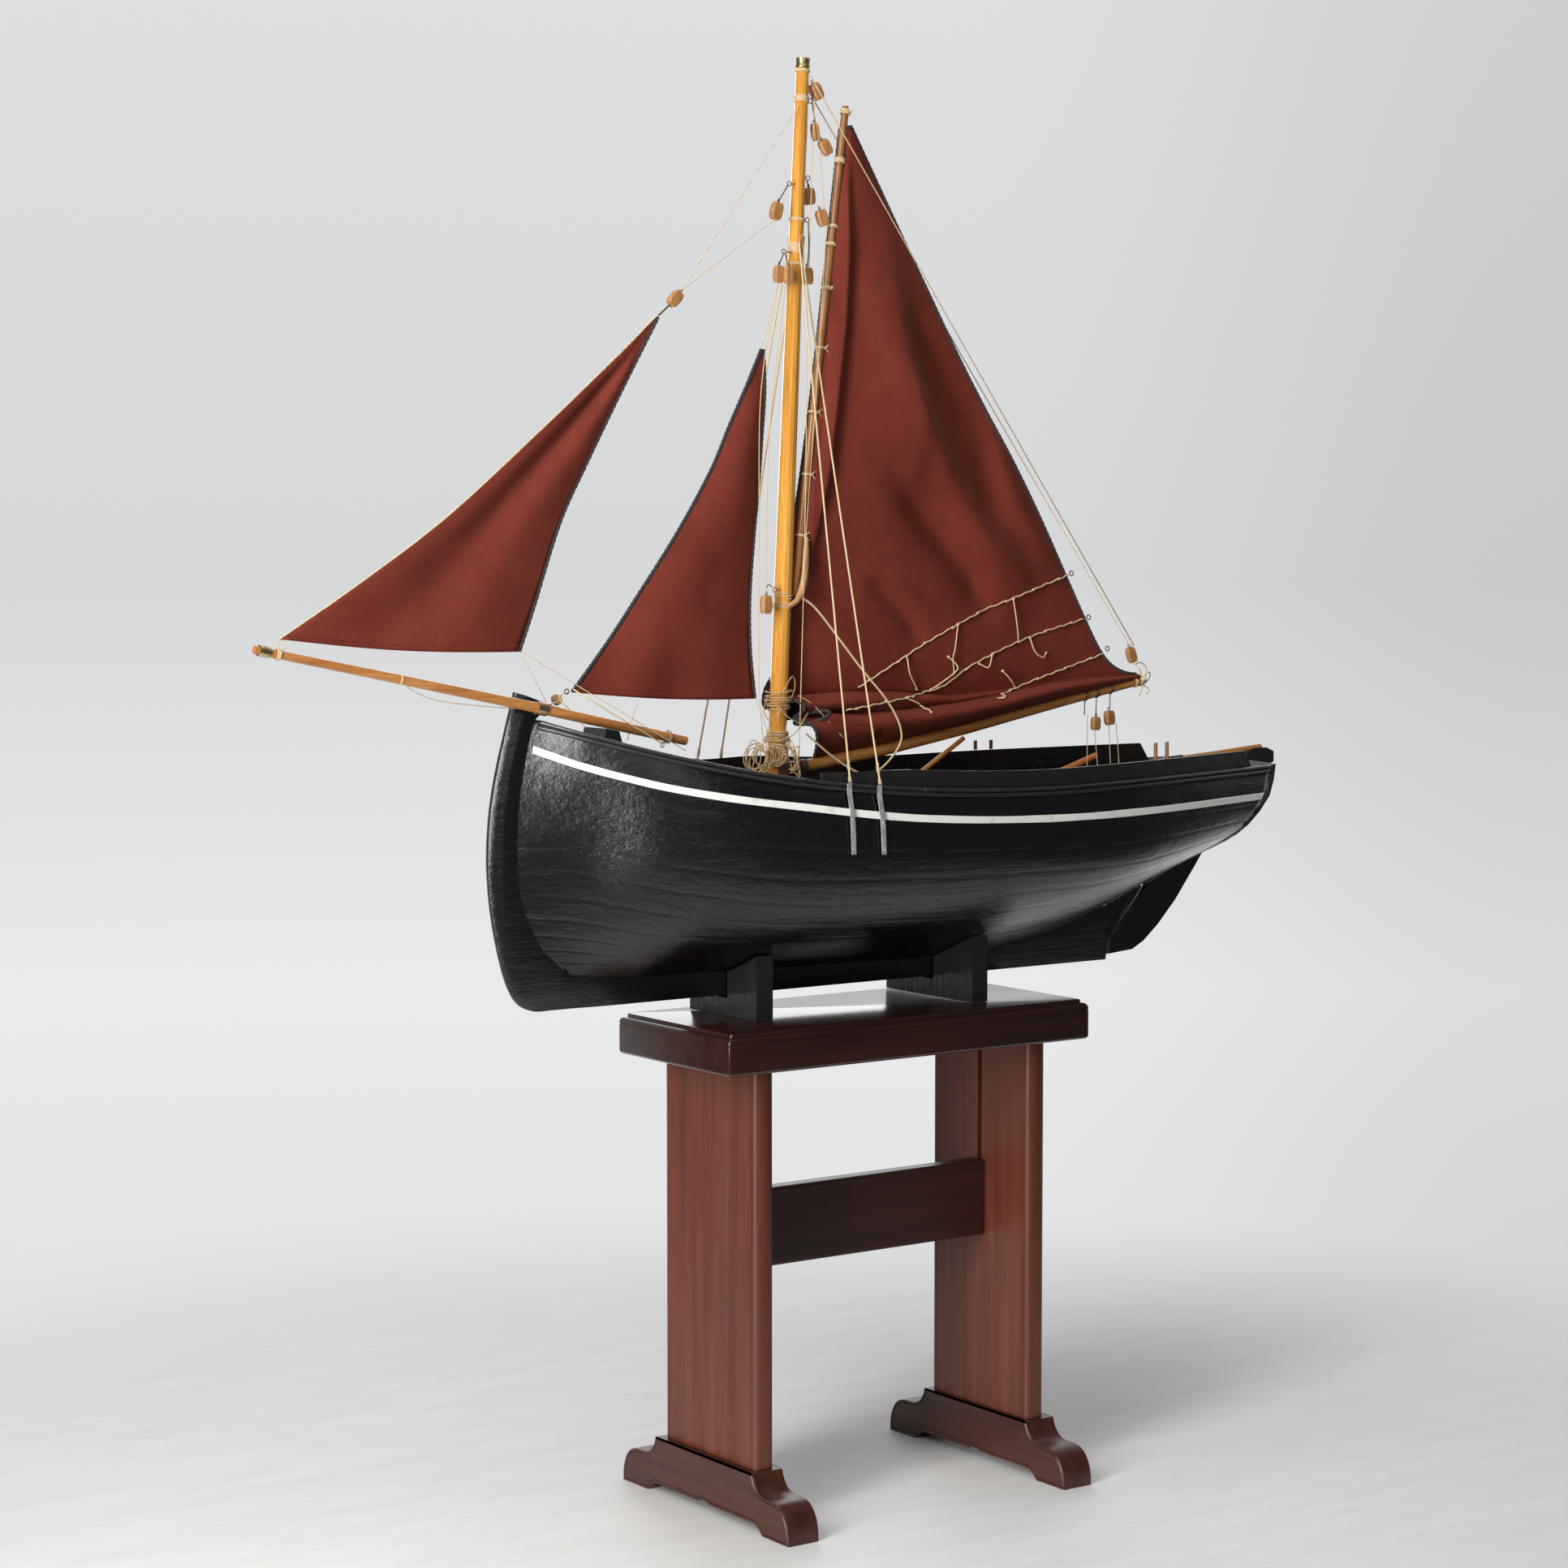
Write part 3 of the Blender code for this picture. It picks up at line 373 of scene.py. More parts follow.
def new_material(name, roughness=0.5, metallic=0.0, coat=0.0, coat_roughness=0.1, sheen=0.0):
    material = bpy.data.materials.new(name)
    material.use_nodes = True
    shader = material.node_tree.nodes["Principled BSDF"]
    shader.inputs["Roughness"].default_value = roughness
    shader.inputs["Metallic"].default_value = metallic
    shader.inputs["Coat Weight"].default_value = coat
    shader.inputs["Coat Roughness"].default_value = coat_roughness
    shader.inputs["Sheen Weight"].default_value = sheen
    return material, material.node_tree, shader


def scaled_coordinates(tree, scale):
    place = node(tree, "TexCoord")
    return node(tree, "Mapping", Vector=place.outputs["Object"], Scale=scale).outputs["Vector"]


def noise_value(tree, scale, size=1.0, detail=4.0, roughness=0.6, distortion=0.0):
    return node(tree, "TexNoise", Vector=scaled_coordinates(tree, scale), Scale=size, Detail=detail,
                Roughness=roughness, Distortion=distortion).outputs["Fac"]


def ramp(tree, value, stops):
    item = node(tree, "ValToRGB", Fac=value)
    while len(item.color_ramp.elements) < len(stops):
        item.color_ramp.elements.new(0.5)
    for element, (position, colour) in zip(item.color_ramp.elements, stops):
        element.position = position
        element.color = (*colour, 1.0)
    return item.outputs["Color"]


def mix_colour(tree, factor, a, b, kind="MIX"):
    item = node(tree, "Mix", {"data_type": "RGBA", "blend_type": kind})
    for index, value in ((0, factor), (6, a), (7, b)):
        if isinstance(value, bpy.types.NodeSocket):
            tree.links.new(value, item.inputs[index])
        else:
            item.inputs[index].default_value = value if index == 0 else (*value, 1.0)
    return item.outputs[2]


def bump_from(tree, heights):
    """Stacks bumps: each is (height socket, strength, distance)."""
    normal = None
    for height, strength, distance in heights:
        item = node(tree, "Bump", Height=height, Strength=strength, Distance=distance)
        if normal:
            tree.links.new(normal, item.inputs["Normal"])
        normal = item.outputs["Normal"]
    return normal


def span(tree, value, low, high, start=0.0, end=1.0, kind="LINEAR"):
    """Maps a value's run from start to end onto low to high."""
    return node(tree, "MapRange", {"interpolation_type": kind}, Value=value, From_Min=start, From_Max=end,
                To_Min=low, To_Max=high).outputs["Result"]


def dot_with(tree, vector, direction):
    item = node(tree, "VectorMath", {"operation": "DOT_PRODUCT"})
    tree.links.new(vector, item.inputs[0])
    item.inputs[1].default_value = direction
    return item.outputs["Value"]


def streaks_along(axis, across, along):
    """Scales of a pattern that is drawn out along one axis."""
    scale = [across] * 3
    scale[axis] = along
    return scale


def wood(name, dark, light, axis, roughness=(0.3, 0.45), coat=0.0, grain=1.0, bump=0.25,
         coat_roughness=0.12):
    """Straight grained wood; axis 0, 1 or 2 is the way the grain runs."""
    material, tree, shader = new_material(name, coat=coat, coat_roughness=coat_roughness)
    bands = noise_value(tree, streaks_along(axis, 70.0 * grain, 3.0 * grain), detail=5.0)
    pores = noise_value(tree, streaks_along(axis, 900.0 * grain, 25.0 * grain), detail=3.0)
    colour = ramp(tree, bands, ((0.3, dark), (0.7, light)))
    pore_shade = ramp(tree, pores, ((0.35, (0.62, 0.58, 0.55)), (0.6, (1.0, 1.0, 1.0))))
    tree.links.new(mix_colour(tree, 0.55, colour, pore_shade, "MULTIPLY"), shader.inputs["Base Color"])
    tree.links.new(span(tree, pores, roughness[1], roughness[0]), shader.inputs["Roughness"])
    tree.links.new(bump_from(tree, ((bands, bump, 0.0004), (pores, bump, 0.0002))), shader.inputs["Normal"])
    return material


def gloss_black(name, base, roughness, brush, axis=0, worn=(0.1, 0.09, 0.08)):
    """Black paint with brush marks along one axis and a few worn spots."""
    material, tree, shader = new_material(name, coat=0.6, coat_roughness=0.04)
    marks = noise_value(tree, streaks_along(axis, 190.0, 9.0), detail=6.0, roughness=0.65)
    waves = noise_value(tree, (9.0, 14.0, 22.0), detail=2.0)
    specks = noise_value(tree, (240.0, 240.0, 240.0), detail=2.0)
    worn_mask = span(tree, specks, 0.0, 1.0, 0.7, 0.78)
    tree.links.new(mix_colour(tree, worn_mask, base, worn), shader.inputs["Base Color"])
    tree.links.new(span(tree, marks, roughness[0], roughness[1]), shader.inputs["Roughness"])
    bristles = noise_value(tree, streaks_along(axis, 620.0, 30.0), detail=3.0)
    heights = ((waves, 0.4, 0.005), (marks, brush, 0.0018), (bristles, brush, 0.0004))
    relief = bump_from(tree, heights)
    for socket in ("Normal", "Coat Normal"):
        tree.links.new(relief, shader.inputs[socket])
    return material


def painted(name, base, dirt, roughness=0.4):
    material, tree, shader = new_material(name, roughness=roughness)
    marks = noise_value(tree, (25.0, 260.0, 260.0), detail=5.0)
    blotches = noise_value(tree, (60.0, 60.0, 60.0), detail=4.0)
    mask = ramp(tree, blotches, ((0.58, (0.0, 0.0, 0.0)), (0.86, (1.0, 1.0, 1.0))))
    tree.links.new(mix_colour(tree, mask, base, dirt), shader.inputs["Base Color"])
    tree.links.new(bump_from(tree, ((marks, 0.3, 0.0003),)), shader.inputs["Normal"])
    return material


def cloth(name, dark, light):
    """Plain weave: two crossed sets of threads, with slow changes of tone."""
    material, tree, shader = new_material(name, roughness=0.85, sheen=0.06)
    shader.inputs["Specular IOR Level"].default_value = 0.2
    shader.inputs["Sheen Roughness"].default_value = 0.55
    shader.inputs["Sheen Tint"].default_value = (0.85, 0.45, 0.35, 1.0)
    place = node(tree, "TexCoord").outputs["Object"]
    threads = []
    for direction in ("X", "Z"):
        wave = node(tree, "TexWave", {"wave_type": "BANDS", "bands_direction": direction}, Vector=place,
                    Scale=330.0, Distortion=1.2, Detail=1.0, Detail_Scale=2.0)
        threads.append(wave.outputs["Fac"])
    weave = node(tree, "Math", {"operation": "MULTIPLY"})
    for index, thread in enumerate(threads):
        tree.links.new(thread, weave.inputs[index])
    slubs = noise_value(tree, (420.0, 420.0, 90.0), detail=3.0)
    tone = noise_value(tree, (11.0, 11.0, 9.0), detail=4.0)
    colour = ramp(tree, tone, ((0.25, dark), (0.75, light)))
    shade = ramp(tree, slubs, ((0.3, (0.66, 0.62, 0.6)), (0.7, (1.0, 1.0, 1.0))))
    tree.links.new(mix_colour(tree, 0.5, colour, shade, "MULTIPLY"), shader.inputs["Base Color"])
    heights = ((tone, 0.2, 0.002), (weave.outputs["Value"], 0.35, 0.0003), (slubs, 0.3, 0.0003))
    tree.links.new(bump_from(tree, heights), shader.inputs["Normal"])
    return material


def fibre(name, dark, light, scale=1.0):
    """Twisted cord: diagonal strands with loose fibres."""
    material, tree, shader = new_material(name, roughness=0.85, sheen=0.3)
    place = scaled_coordinates(tree, (900.0 * scale, 900.0 * scale, 700.0 * scale))
    strands = node(tree, "TexWave", {"wave_type": "BANDS", "bands_direction": "DIAGONAL"}, Vector=place,
                   Scale=0.6, Distortion=2.0, Detail=2.0).outputs["Fac"]
    hairs = noise_value(tree, (700.0, 700.0, 700.0), detail=3.0)
    colour = ramp(tree, strands, ((0.1, dark), (0.75, light)))
    tree.links.new(mix_colour(tree, hairs, colour, light), shader.inputs["Base Color"])
    heights = ((strands, 0.6, 0.0004), (hairs, 0.3, 0.0002))
    tree.links.new(bump_from(tree, heights), shader.inputs["Normal"])
    return material


def metal(name, clean, dull, roughness=(0.25, 0.5), scale=180.0, metallic=1.0):
    material, tree, shader = new_material(name, metallic=metallic)
    tarnish = noise_value(tree, (scale, scale, scale * 0.6), detail=5.0)
    scratches = noise_value(tree, (1500.0, 1500.0, 60.0), detail=2.0)
    tree.links.new(ramp(tree, tarnish, ((0.35, clean), (0.68, dull))), shader.inputs["Base Color"])
    tree.links.new(span(tree, tarnish, *roughness), shader.inputs["Roughness"])
    tree.links.new(bump_from(tree, ((scratches, 0.15, 0.0002),)), shader.inputs["Normal"])
    return material


def plastic(name, colour, roughness=0.42):
    material, tree, shader = new_material(name)
    grain = noise_value(tree, (1800.0, 1800.0, 1800.0), detail=2.0)
    cloud = noise_value(tree, (40.0, 40.0, 40.0), detail=3.0)
    lighter = tuple(min(1.0, value * 1.18 + 0.004) for value in colour)
    tree.links.new(ramp(tree, cloud, ((0.3, colour), (0.7, lighter))), shader.inputs["Base Color"])
    tree.links.new(span(tree, cloud, roughness, roughness + 0.1), shader.inputs["Roughness"])
    tree.links.new(bump_from(tree, ((grain, 0.2, 0.0001),)), shader.inputs["Normal"])
    return material


MATERIALS = {
    "slab": wood("slab_wood", (0.014, 0.005, 0.004), (0.046, 0.014, 0.01), 0, (0.12, 0.24), coat=0.4),
    "mahogany_upright": wood("mahogany_upright", (0.09, 0.021, 0.012), (0.165, 0.044, 0.023), 2, (0.34, 0.5)),
    "mahogany_across": wood("mahogany_across", (0.034, 0.009, 0.006), (0.088, 0.024, 0.014), 1, (0.28, 0.45)),
    "mahogany_along": wood("mahogany_along", (0.018, 0.006, 0.004), (0.055, 0.015, 0.01), 0, (0.28, 0.45)),
    "cradle_black": gloss_black("cradle_paint", (0.012, 0.012, 0.013), (0.28, 0.5), 0.35, axis=2),
    "hull_black": gloss_black("hull_paint", (0.003, 0.0035, 0.0045), (0.1, 0.3), 0.55,
                              worn=(0.035, 0.033, 0.03)),
    "trim_black": gloss_black("trim_paint", (0.012, 0.012, 0.012), (0.25, 0.48), 0.45,
                              worn=(0.22, 0.2, 0.18)),
    "white_stripe": painted("stripe_paint", (0.88, 0.87, 0.83), (0.55, 0.54, 0.5)),
    "iron": metal("worn_iron", (0.6, 0.6, 0.59), (0.24, 0.23, 0.22), (0.4, 0.6), metallic=0.3),
    "plain_wood": wood("oiled_wood", (0.2, 0.095, 0.038), (0.42, 0.22, 0.095), 2, (0.4, 0.6)),
    "golden_pine": wood("golden_pine", (0.62, 0.255, 0.032), (0.92, 0.46, 0.085), 2, (0.14, 0.26), coat=0.9,
                        grain=0.8, bump=0.1, coat_roughness=0.15),
    "brass": metal("old_brass", (0.78, 0.62, 0.36), (0.4, 0.27, 0.12), (0.2, 0.45)),
    "varnished_spar": wood("varnished_spar", (0.4, 0.145, 0.035), (0.68, 0.31, 0.09), 0, (0.25, 0.42),
                           coat=0.3),
    "block_wood": wood("block_wood", (0.4, 0.17, 0.055), (0.66, 0.35, 0.14), 2, (0.4, 0.6)),
    "sole_wood": wood("sole_wood", (0.045, 0.026, 0.015), (0.13, 0.075, 0.04), 0, (0.5, 0.7)),
    "orange_peg": wood("orange_peg", (0.5, 0.13, 0.025), (0.78, 0.25, 0.055), 0, (0.35, 0.5)),
    "dark_wood": wood("dark_wood", (0.025, 0.014, 0.009), (0.085, 0.045, 0.024), 0, (0.35, 0.55)),
    "bamboo": wood("bamboo_cane", (0.22, 0.085, 0.022), (0.42, 0.19, 0.058), 2, (0.28, 0.45), coat=0.2),
    "pale_wood": wood("pale_bent_wood", (0.42, 0.22, 0.09), (0.68, 0.42, 0.2), 2, (0.3, 0.5)),
    "tan_cloth": cloth("tanned_cloth", (0.16, 0.026, 0.015), (0.235, 0.041, 0.025)),
    # near-black cloth: painted shade for the insides of the rolls' mouths and the bunched cloth behind the
    # mast
    "shaded_cloth": cloth("painted_shade_cloth", (0.012, 0.004, 0.004), (0.03, 0.009, 0.007)),
    "old_cord": fibre("old_cord", (0.22, 0.13, 0.05), (0.64, 0.45, 0.22)),
    "black_rope": fibre("tarred_rope", (0.004, 0.004, 0.005), (0.03, 0.029, 0.028)),
    "cord": fibre("cream_cord", (0.4, 0.25, 0.11), (0.82, 0.64, 0.38)),
    "wire": metal("rigging_wire", (0.3, 0.24, 0.17), (0.12, 0.09, 0.06), (0.4, 0.6)),
    "grey_plastic": plastic("grey_case", (0.035, 0.035, 0.04)),
    "white_plastic": plastic("white_nylon", (0.72, 0.72, 0.69)),
    "battery_wrap": plastic("blue_wrap", (0.03, 0.08, 0.24), 0.3),
}
GRAIN_OF_NODE = {
    "deck_peg": "orange_peg", "hold_floor": "sole_wood", "fore_leg": "mahogany_upright",
    "aft_leg": "mahogany_upright", "fore_foot": "mahogany_across", "aft_foot": "mahogany_across",
    "stretcher": "mahogany_along",
}
TRIM_NODES = ("stem", "port_coaming", "starboard_coaming", "transom", "bowsprit_bitt", "port_rail",
              "starboard_rail")


def dress_cad_nodes():
    """Gives every CAD node the finish of its material slot."""
    for part in frame["record"]["subparts"]:
        name = part["node"]
        look = GRAIN_OF_NODE.get(name, part["material_slot"])
        if name in TRIM_NODES:
            look = "trim_black"
        data = frame["nodes"][name].data
        data.materials.clear()
        data.materials.append(MATERIALS[look])


# --- camera, light and floor ---
def make_camera():
    data = bpy.data.cameras.new("view")
    data.lens = LENS_MM
    data.sensor_width = SENSOR_MM
    data.clip_start = 0.05
    camera = bpy.data.objects.new("view", data)
    camera.location = CAMERA_PLACE
    camera.rotation_euler = CAMERA_FORWARD.to_track_quat("-Z", "Y").to_euler()
    bpy.context.scene.collection.objects.link(camera)
    bpy.context.scene.camera = camera


def area_light(name, place, target, size, power, colour):
    data = bpy.data.lights.new(name, "AREA")
    data.shape = "RECTANGLE"
    data.size, data.size_y = size
    data.energy = power
    data.color = colour
    light = bpy.data.objects.new(name, data)
    light.location = place
    light.rotation_euler = (Vector(target) - Vector(place)).to_track_quat("-Z", "Y").to_euler()
    bpy.context.scene.collection.objects.link(light)


DARK_STUDIO = 0.07  # what lights the object from behind the camera
BRIGHT_BACKDROP = 0.78  # and from behind the object
SEEN_BACKDROP = ((0.0, 0.75), (0.25, 0.8), (0.35, 0.835), (0.43, 0.79), (0.62, 0.69), (1.0, 0.735))
SEEN_LOW = -0.28  # height of the view rays at the first and the last of these
SEEN_HIGH = 0.15
RIGHT_SHADE = 0.86  # the seen backdrop's tone at its right edge
WARM = (1.0, 0.985, 0.96)
WHITE = (1.0, 1.0, 1.0)
# name, place, size, watts, colour; all are aimed at the middle of the boat
AREA_LIGHTS = (
    ("tall_softbox", (2.55, 0.95, 1.2), (0.7, 2.0), 66, WARM),
    ("key", (2.3, 1.2, 2.6), (1.1, 1.1), 30, WARM),
    ("front", (1.2, 3.4, 2.2), (2.0, 1.0), 12, WHITE),
    ("fore_card", (2.6, 1.3, 0.35), (1.3, 0.7), 15, WHITE),
    ("overhead", (0.0, 0.4, 3.4), (2.4, 2.0), 26, WHITE),
    ("rim", (-1.2, -2.4, 1.6), (1.6, 1.6), 12, (0.97, 0.985, 1.0)),
)


def make_lights():
    for name, place, size, power, colour in AREA_LIGHTS:
        area_light(name, place, (0, 0, 1.0), size, power, colour)


def backdrop_tone(tree, ray):
    """The tone of the backdrop as the camera sees it, by the ray's height and side."""
    height = node(tree, "SeparateXYZ", Vector=ray).outputs["Z"]
    part = span(tree, height, 0.0, 1.0, SEEN_LOW, SEEN_HIGH)
    tone = ramp(tree, part, [(place, (value, value, value)) for place, value in SEEN_BACKDROP])
    right = dot_with(tree, ray, CAMERA_FORWARD.cross(Vector((0, 0, 1))))
    shade = span(tree, right, 1.0, RIGHT_SHADE, 0.05, 0.22, "SMOOTHSTEP")
    product = node(tree, "Math", {"operation": "MULTIPLY"})
    tree.links.new(tone, product.inputs[0])
    tree.links.new(shade, product.inputs[1])
    return product.outputs["Value"]


def make_world():
    """A dark studio in front of a bright backdrop, which the camera sees in its own tones."""
    world = bpy.data.worlds.new("studio")
    world.use_nodes = True
    tree = world.node_tree
    background = tree.nodes["Background"]
    seen = node(tree, "LightPath").outputs["Is Camera Ray"]
    ray = node(tree, "TexCoord").outputs["Generated"]
    ahead = dot_with(tree, ray, CAMERA_FORWARD)
    lit = span(tree, ahead, DARK_STUDIO, BRIGHT_BACKDROP, 0.2, 0.85, "SMOOTHSTEP")
    strength = node(tree, "Mix", {"data_type": "FLOAT"})
    tones = (seen, lit, backdrop_tone(tree, ray))
    for socket, value in zip(strength.inputs[:1] + strength.inputs[2:4], tones):
        tree.links.new(value, socket)
    tree.links.new(strength.outputs[0], background.inputs["Strength"])
    background.inputs["Color"].default_value = (0.985, 0.99, 1.0, 1.0)
    bpy.context.scene.world = world
    bpy.context.scene.view_settings.view_transform = "Standard"


FLOOR_RADIUS = 4.5
FLOOR_FADES_FROM = 0.55
FLOOR_FADES_TO = 1.7


def make_floor():
    """A pale streaky floor that fades into the backdrop."""
    bm = bmesh.new()
    bmesh.ops.create_circle(bm, cap_ends=True, segments=96, radius=FLOOR_RADIUS)
    mesh = bpy.data.meshes.new("floor")
    bm.to_mesh(mesh)
    bm.free()
    floor = bpy.data.objects.new("floor", mesh)
    bpy.context.scene.collection.objects.link(floor)
    material, tree, shader = new_material("studio_floor", roughness=0.6)
    streaks = noise_value(tree, (5.0, 22.0, 1.0), detail=8.0, roughness=0.75)
    cloud = noise_value(tree, (9.0, 6.0, 1.0), detail=6.0, roughness=0.7)
    pale = ramp(tree, streaks, ((0.3, (0.72, 0.72, 0.705)), (0.7, (0.9, 0.9, 0.89))))
    tree.links.new(mix_colour(tree, cloud, pale, (0.8, 0.8, 0.79)), shader.inputs["Base Color"])
    tree.links.new(bump_from(tree, ((streaks, 0.1, 0.001),)), shader.inputs["Normal"])
    place = node(tree, "TexCoord").outputs["Object"]
    radius = node(tree, "VectorMath", {"operation": "LENGTH"}, Vector=place).outputs["Value"]
    fade = span(tree, radius, 0.0, 1.0, FLOOR_FADES_FROM, FLOOR_FADES_TO, "SMOOTHSTEP")
    clear = node(tree, "BsdfTransparent").outputs["BSDF"]
    blend = node(tree, "MixShader", Fac=fade)
    tree.links.new(shader.outputs["BSDF"], blend.inputs[1])
    tree.links.new(clear, blend.inputs[2])
    tree.links.new(blend.outputs["Shader"], tree.nodes["Material Output"].inputs["Surface"])
    mesh.materials.append(material)


# --- hull ---
def transom_x(z):
    return STERN_FOOT[0] - STERN_RAKE * (z - STERN_FOOT[1])


def hull_grid():
    lines = []
    for (stem_x, stem_z), middle, (stern_y, stern_z) in HULL_LINES:
        line = [Vector((stem_x, KEEL_HALF, stem_z))]
        line += [Vector((x, y, z)) for x, (y, z) in zip(STATION_X, middle)]
        line.append(Vector((transom_x(stern_z), stern_y, stern_z)))
        lines.append(line)
    return lines


HULL = hull_grid()


def hull_point(station, line):
    """A point on the port side: station 0 to 7 from stem to transom, line 0 to 6 from keel to sheer."""
    return spline_at([spline_at(hull_line, station) for hull_line in HULL], line)


def station_at(x, line=SHEER_LINE):
    low, high = 0.0, LAST_STATION
    for _ in range(30):
        middle = (low + high) / 2
        if hull_point(middle, line).x > x:
            low = middle
        else:
            high = middle
    return (low + high) / 2


def skin_point(station, z):
    """The port side's outside at this station and height, between the bilge and the sheer."""
    low, high = 3.5, float(SHEER_LINE)
    for _ in range(24):
        middle = (low + high) / 2
        if hull_point(station, middle).z < z:
            low = middle
        else:
            high = middle
    return hull_point(station, (low + high) / 2)


def sided(point, side):
    return BOAT + Vector((point.x, side * point.y, point.z))


PLANK_SEAMS = (0.55, 1.05, 1.55, 2.05, 2.6, 3.15, 3.7, 4.25, 4.72)
SEAM_DEPTH = 0.00035
SEAM_HALF = 0.025  # in line values
PLANKING = 0.004
RAIL_OVERLAP = 0.0006  # how far the planking stops short of the rail's top


def plank_lines():
    """Line values from keel to sheer, close together at each seam, with the seam's depth."""
    lines = []
    edges = (0.0, *PLANK_SEAMS, float(SHEER_LINE))
    for low, high in zip(edges, edges[1:]):
        lines.append((low, SEAM_DEPTH if low > 0 else 0.0))
        inner = np.linspace(low + SEAM_HALF, high - SEAM_HALF, 6)
        lines += [(float(line), 0.0) for line in inner]
    lines.append((float(SHEER_LINE), 0.0))
    return lines


def make_hull():
    """The planking, with its seams, as one skin with thickness."""
    bm = bmesh.new()
    rows = []
    for station in np.linspace(0, LAST_STATION, 150):
        side = []
        for line, depth in plank_lines():
            point = hull_point(station, line)
            point.y = max(point.y - depth, KEEL_HALF * 0.9)
            side.append(point)
        side[-1].z -= RAIL_OVERLAP
        rows.append([sided(point, 1) for point in reversed(side)] + [sided(point, -1) for point in side])
    verts = add_grid(bm, rows)
    half = len(verts[0]) // 2
    for i in range(half - 1):
        bm.faces.new((verts[0][i], verts[0][i + 1], verts[0][-2 - i], verts[0][-1 - i]))
    hull = mesh_piece("hull_planking", bm, "boat", "hull_black", 35)
    thicken(hull, PLANKING)
    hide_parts("hull_shell")


def strip_points(station, line, side, spans):
    point = hull_point(station, line)
    section = []
    for across, up in spans:
        skin = skin_point(station, point.z + up)
        section.append(sided(Vector((skin.x, skin.y + across, point.z + up)), side))
    return section


def rail_spans():
    """Section of the rail: two beads, one above the other, and a flat top."""
    spans = [(0.0006, -RAIL_HEIGHT)]
    bead = RAIL_HEIGHT / 2
    for centre in (-1.5 * bead, -0.5 * bead):
        for angle in np.linspace(-80, 80, 7):
            turn = math.radians(float(angle))
            proud = 0.0008 + (RAIL_PROUD - 0.0008) * math.cos(turn)
            spans.append((proud, centre + 0.5 * bead * math.sin(turn)))
    spans.append((0.0006, 0.0))
    return spans


def make_rails():
    for side, word in SIDES:
        sections = [strip_points(station, SHEER_LINE, side, rail_spans())
                    for station in np.linspace(0.05, 6.98, 120)]
        rail = solid_loft(word + "_rail_moulding", sections, "boat", "trim_black")
        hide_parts(word + "_rail")


def make_stripes():
    """The white line, with the small waver of a line painted by hand."""
    for side, word in SIDES:
        sections = []
        for station in np.linspace(0.08, 6.97, 150):
            low = -STRIPE_HEIGHT / 2 + 0.0004 * wobble(station, side, 0, 2.3)
            high = STRIPE_HEIGHT / 2 + 0.0004 * wobble(station, side, 5, 2.9)
            spans = ((0.0006, low), (0.0011, low + 0.0004), (0.0011, high - 0.0004), (0.0006, high))
            sections.append(strip_points(station, STRIPE_LINE, side, spans))
        stripe = solid_loft(word + "_painted_line", sections, "boat", "white_stripe")
        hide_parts(word + "_stripe")


# --- stand ---
def rounded_rectangle(half_x, half_y, radius, z, centre):
    """A level outline with round corners, of four steps each."""
    points = []
    for sx, sy, start in ((1, 1, 0), (-1, 1, 90), (-1, -1, 180), (1, -1, 270)):
        for step in range(5):
            angle = math.radians(start + 22.5 * step)
            points.append(centre + Vector((sx * (half_x - radius) + radius * math.cos(angle),
                                           sy * (half_y - radius) + radius * math.sin(angle), z)))
    return points


def cove(start_z, height, depth, rising):
    """A quarter round in the slab's edge: height and inset of each of its layers."""
    layers = []
    for angle in range(0, 91, 15):
        turn = math.radians(angle)
        if rising:
            layers.append((start_z + height * math.sin(turn), depth * (1 - math.cos(turn))))
        else:
            layers.append((start_z + height * (1 - math.cos(turn)), depth * (1 - math.sin(turn))))
    return layers


def make_slab():
    """The stand's top: a moulded edge round a raised, polished field."""
    low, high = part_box("stand_top")
    half_x, half_y = (high[0] - low[0]) / 2, (high[1] - low[1]) / 2
    top = high[2]
    layers = cove(low[2], 0.004, 0.004, False)
    layers += [(top - 0.0125, 0.0), (top - 0.012, 0.0005), (top - 0.0112, 0.0005), (top - 0.0107, 0.0)]
    layers += cove(top - 0.01, 0.0058, 0.005, True)
    layers += [(top - 0.0048, 0.006), (top - 0.0044, 0.0066), (top - 0.001, 0.0067), (top - 0.0003, 0.0071),
               (top, 0.008)]
    sections = [rounded_rectangle(half_x - inset, half_y - inset, 0.003, z, STAND) for z, inset in layers]
    slab = solid_loft("polished_top", sections, "stand", "slab")
    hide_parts("stand_top")


def leg_section(half_x, half_y, inward, slot_depth):
    """Plan of a leg: full round edges with a quirk beside each, and a slot in the inner face."""
    quirk_y = half_y - 0.0085
    outer = []
    for angle in range(0, 181, 18):
        turn = math.radians(angle)
        across = abs(math.cos(turn)) ** 0.7 * math.copysign(1, math.cos(turn))
        outer.append((half_x * across, half_y - 0.0075 + 0.0075 * math.sin(turn) ** 0.8))
    quirk = [(-half_x, quirk_y + 0.0006), (-half_x + 0.0012, quirk_y), (-half_x, quirk_y - 0.0006)]
    face = [(-half_x, 0.0036), (-half_x + slot_depth, 0.0035)]
    side = outer + quirk + face
    other = [(x, -y) for x, y in reversed(side)]
    far = [(half_x, -quirk_y - 0.0006), (half_x - 0.0012, -quirk_y), (half_x, -quirk_y + 0.0006),
           (half_x, quirk_y - 0.0006), (half_x - 0.0012, quirk_y), (half_x, quirk_y + 0.0006)]
    return [(inward * x, y) for x, y in side + other + far]


